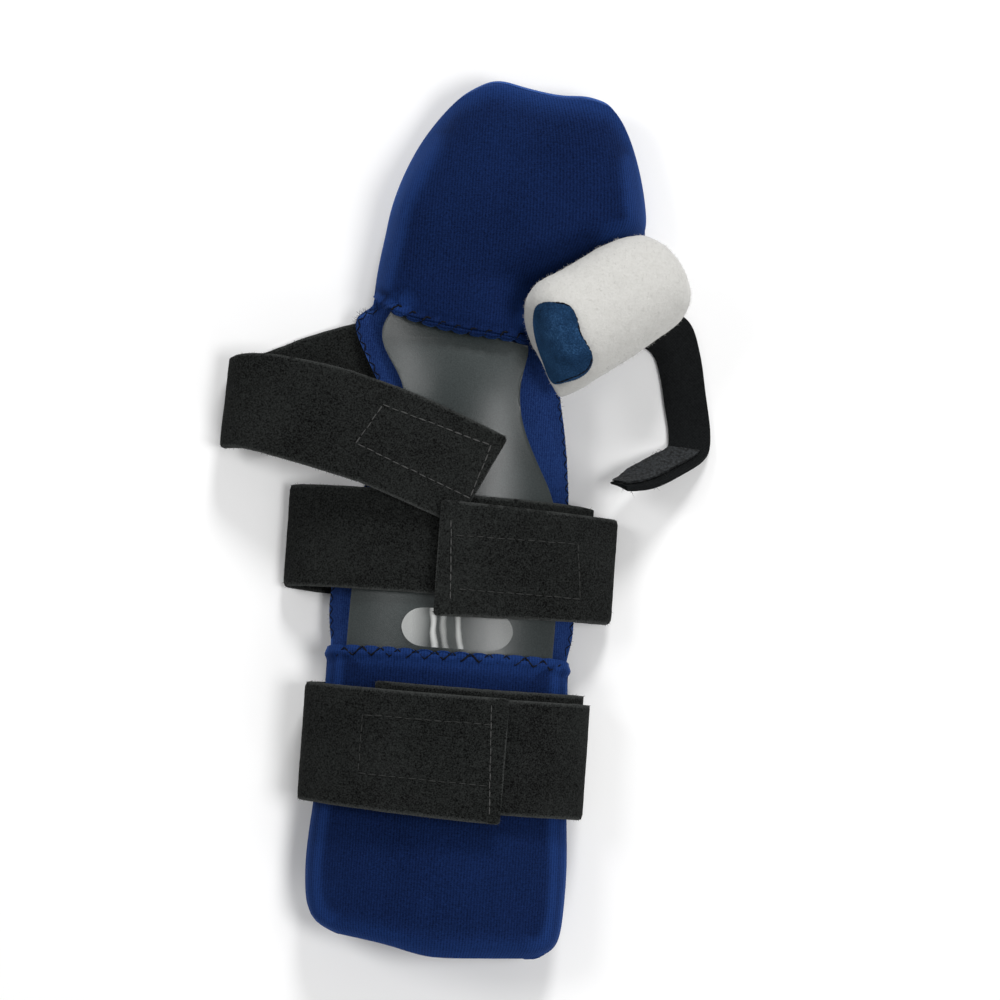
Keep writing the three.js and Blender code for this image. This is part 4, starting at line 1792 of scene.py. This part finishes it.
    def shaped(self, roll: bpy.types.Object) -> None:
        """Fill out the far shoulder and draw out the sleeve's lower corner past the raised end.

        Args:
            roll: The roll's cover.
        """
        inside = self.frame()
        outside = inside.inverted()
        for vertex in roll.data.vertices:
            spot = outside @ vertex.co
            far = ramp(spot.x, self.far_from, self.far_fully)
            wider = self.fuller * ramp(spot.y, 0, self.half_width)
            narrower = self.slimmer * ramp(-spot.y, 0, self.half_width)
            spot.y *= 1 + far * (wider - narrower)
            bow = max(0.0, 1 - ((spot.x - self.fill_middle) / self.fill_reach) ** 2)
            spot.y += self.fill * bow * bow * ramp(spot.y, 0, self.fill_side)
            spot.x -= self.longer * ramp(-spot.x, self.longer_from, self.longer_fully)
            vertex.co = inside @ spot
        corner = raised(self.corner)
        spots = [vertex.co.copy() for vertex in roll.data.vertices]
        nearest = min(spots, key=lambda spot: (spot - corner).length)
        for vertex in roll.data.vertices:
            share = max(0.0, 1 - (vertex.co - nearest).length / self.corner_reach)
            vertex.co += (corner - nearest) * share**self.corner_power

    def tab(self, ground: Ground) -> bpy.types.Object:
        """A velour tab cut to its outline and lapped over the raised end.

        Args:
            ground: The roll under it.

        Returns:
            The tab.
        """
        outline = rounded([place(p) for p in self.tab_outline], passes=2)
        centre = sum(outline, Vector()) / len(outline)
        deselect()
        bpy.ops.mesh.primitive_circle_add(vertices=len(outline), radius=1.0, fill_type="TRIFAN")
        tab = bpy.context.object
        tab.name = tab.data.name = "roll_tab_velour"
        rim = [vertex for vertex in tab.data.vertices if vertex.co.length > 0.5]
        rim.sort(key=lambda vertex: math.atan2(vertex.co.y, vertex.co.x))
        ring = sorted(outline, key=lambda p: math.atan2((p - centre).y, (p - centre).x))
        for vertex in tab.data.vertices:
            vertex.co = centre
        for vertex, point in zip(rim, ring):
            vertex.co = point
        with editing(tab):
            bpy.ops.mesh.select_all(action="SELECT")
            bpy.ops.mesh.subdivide(number_cuts=6)
        for vertex in tab.data.vertices:
            inset = min((vertex.co - point).length for point in ring)
            point, normal = ground.under(vertex.co)
            puff = self.tab_puff * ramp(inset, 0, self.tab_puff_reach)
            vertex.co = point + normal * (self.tab_lift + puff)
        modified(tab, "SMOOTH", factor=0.5, iterations=4)
        with editing(tab, "FACE"):
            bpy.ops.mesh.select_all(action="SELECT")
            bpy.ops.mesh.normals_make_consistent(inside=False)
        if sum(p.normal.z for p in tab.data.polygons) < 0:
            tab.data.flip_normals()
        modified(tab, "SOLIDIFY", thickness=self.tab_thick, offset=1.0)
        modified(
            tab, "BEVEL", width=0.6 * MM, segments=3, limit_method="ANGLE", angle_limit=math.radians(50)
        )
        smooth(tab, 70)
        dressed(tab, TAB_BLUE, "velour_tab", "roll_tab")
        return tab


@dataclass(frozen=True)
class Lamp:
    """One round area light, aimed at the splint."""

    name: str
    spot: Spot
    size: float
    power: float


@dataclass
class Studio:
    """Pale floor, soft light and the camera over the splint."""

    lamps: tuple[Lamp, ...] = (
        Lamp("key", (0.25, 1.9, 1.25), 0.55, 26.0),
        Lamp("right", (0.64, 0.02, 1.35), 0.5, 8.0),
        Lamp("left", (-1.05, 0.5, 1.15), 0.6, 6.0),
        Lamp("near", (0.9, -1.2, 0.95), 0.9, 6.0),
    )
    surround: float = 0.27
    floor_size: float = 6.0
    aim: Spot = (15.2 * MM, 91.2 * MM, 25 * MM)
    distance: float = 1.5
    elevation: float = 88.5
    roll: float = 4.0
    view_width: float = 358.3 * MM
    sensor: float = 36.0

    def build(self) -> None:
        """Make the floor, the lights and the camera."""
        self.floor()
        self.lights()
        self.camera()
        bpy.context.scene.view_settings.view_transform = "Standard"

    def floor(self) -> None:
        """A wide, flat, pale floor."""
        deselect()
        bpy.ops.mesh.primitive_plane_add(size=self.floor_size, location=(0, 0, 0))
        floor = bpy.context.object
        floor.name = "floor"
        with editing(floor):
            bpy.ops.mesh.select_all(action="SELECT")
            bpy.ops.mesh.subdivide(number_cuts=7)
        floor.data.materials.append(FLOOR_WHITE.material())

    def lights(self) -> None:
        """A broad key from the fingertip end, softer lights on the other sides and a pale surround."""
        for lamp in self.lamps:
            deselect()
            bpy.ops.object.light_add(type="AREA", location=lamp.spot)
            light = bpy.context.object
            light.name = lamp.name
            light.data.shape = "DISK"
            light.data.size = lamp.size
            light.data.energy = lamp.power
            aim = Vector(self.aim) - Vector(lamp.spot)
            light.rotation_euler = aim.to_track_quat("-Z", "Y").to_euler()
        world = bpy.data.worlds.new("surround")
        world.use_nodes = True
        back = world.node_tree.nodes["Background"]
        back.inputs["Color"].default_value = (1.0, 1.0, 1.0, 1.0)
        back.inputs["Strength"].default_value = self.surround
        bpy.context.scene.world = world

    def camera(self) -> None:
        """The camera, nearly straight above, turned a little about its line of sight."""
        rise, turn = math.radians(self.elevation), math.radians(self.roll)
        sight = Vector((0, math.cos(rise), -math.sin(rise)))
        upward = Vector((0, math.sin(rise), math.cos(rise)))
        across = Vector((1, 0, 0))
        right = across * math.cos(turn) + upward * math.sin(turn)
        up = upward * math.cos(turn) - across * math.sin(turn)
        deselect()
        bpy.ops.object.camera_add()
        camera = bpy.context.object
        basis = Matrix((right, up, -sight)).transposed().to_4x4()
        camera.matrix_world = Matrix.Translation(Vector(self.aim) - sight * self.distance) @ basis
        camera.data.sensor_width = self.sensor
        camera.data.lens = self.sensor * self.distance / self.view_width
        camera.data.clip_start = 0.05
        bpy.context.scene.camera = camera


def main() -> None:
    """Load the frame, set up the studio and build every sub-assembly over it."""
    logging.basicConfig(level=logging.INFO, format="%(message)s")
    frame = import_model()
    nodes = frame["nodes"]
    Studio().build()
    for assembly in (Shell(nodes), Cover(nodes), WrapStraps(nodes), ThumbStrap(nodes), ThumbRoll(nodes)):
        for piece in assembly.build():
            LOG.info("made %s", piece.name)
    deselect()


if __name__ == "__main__":
    main()
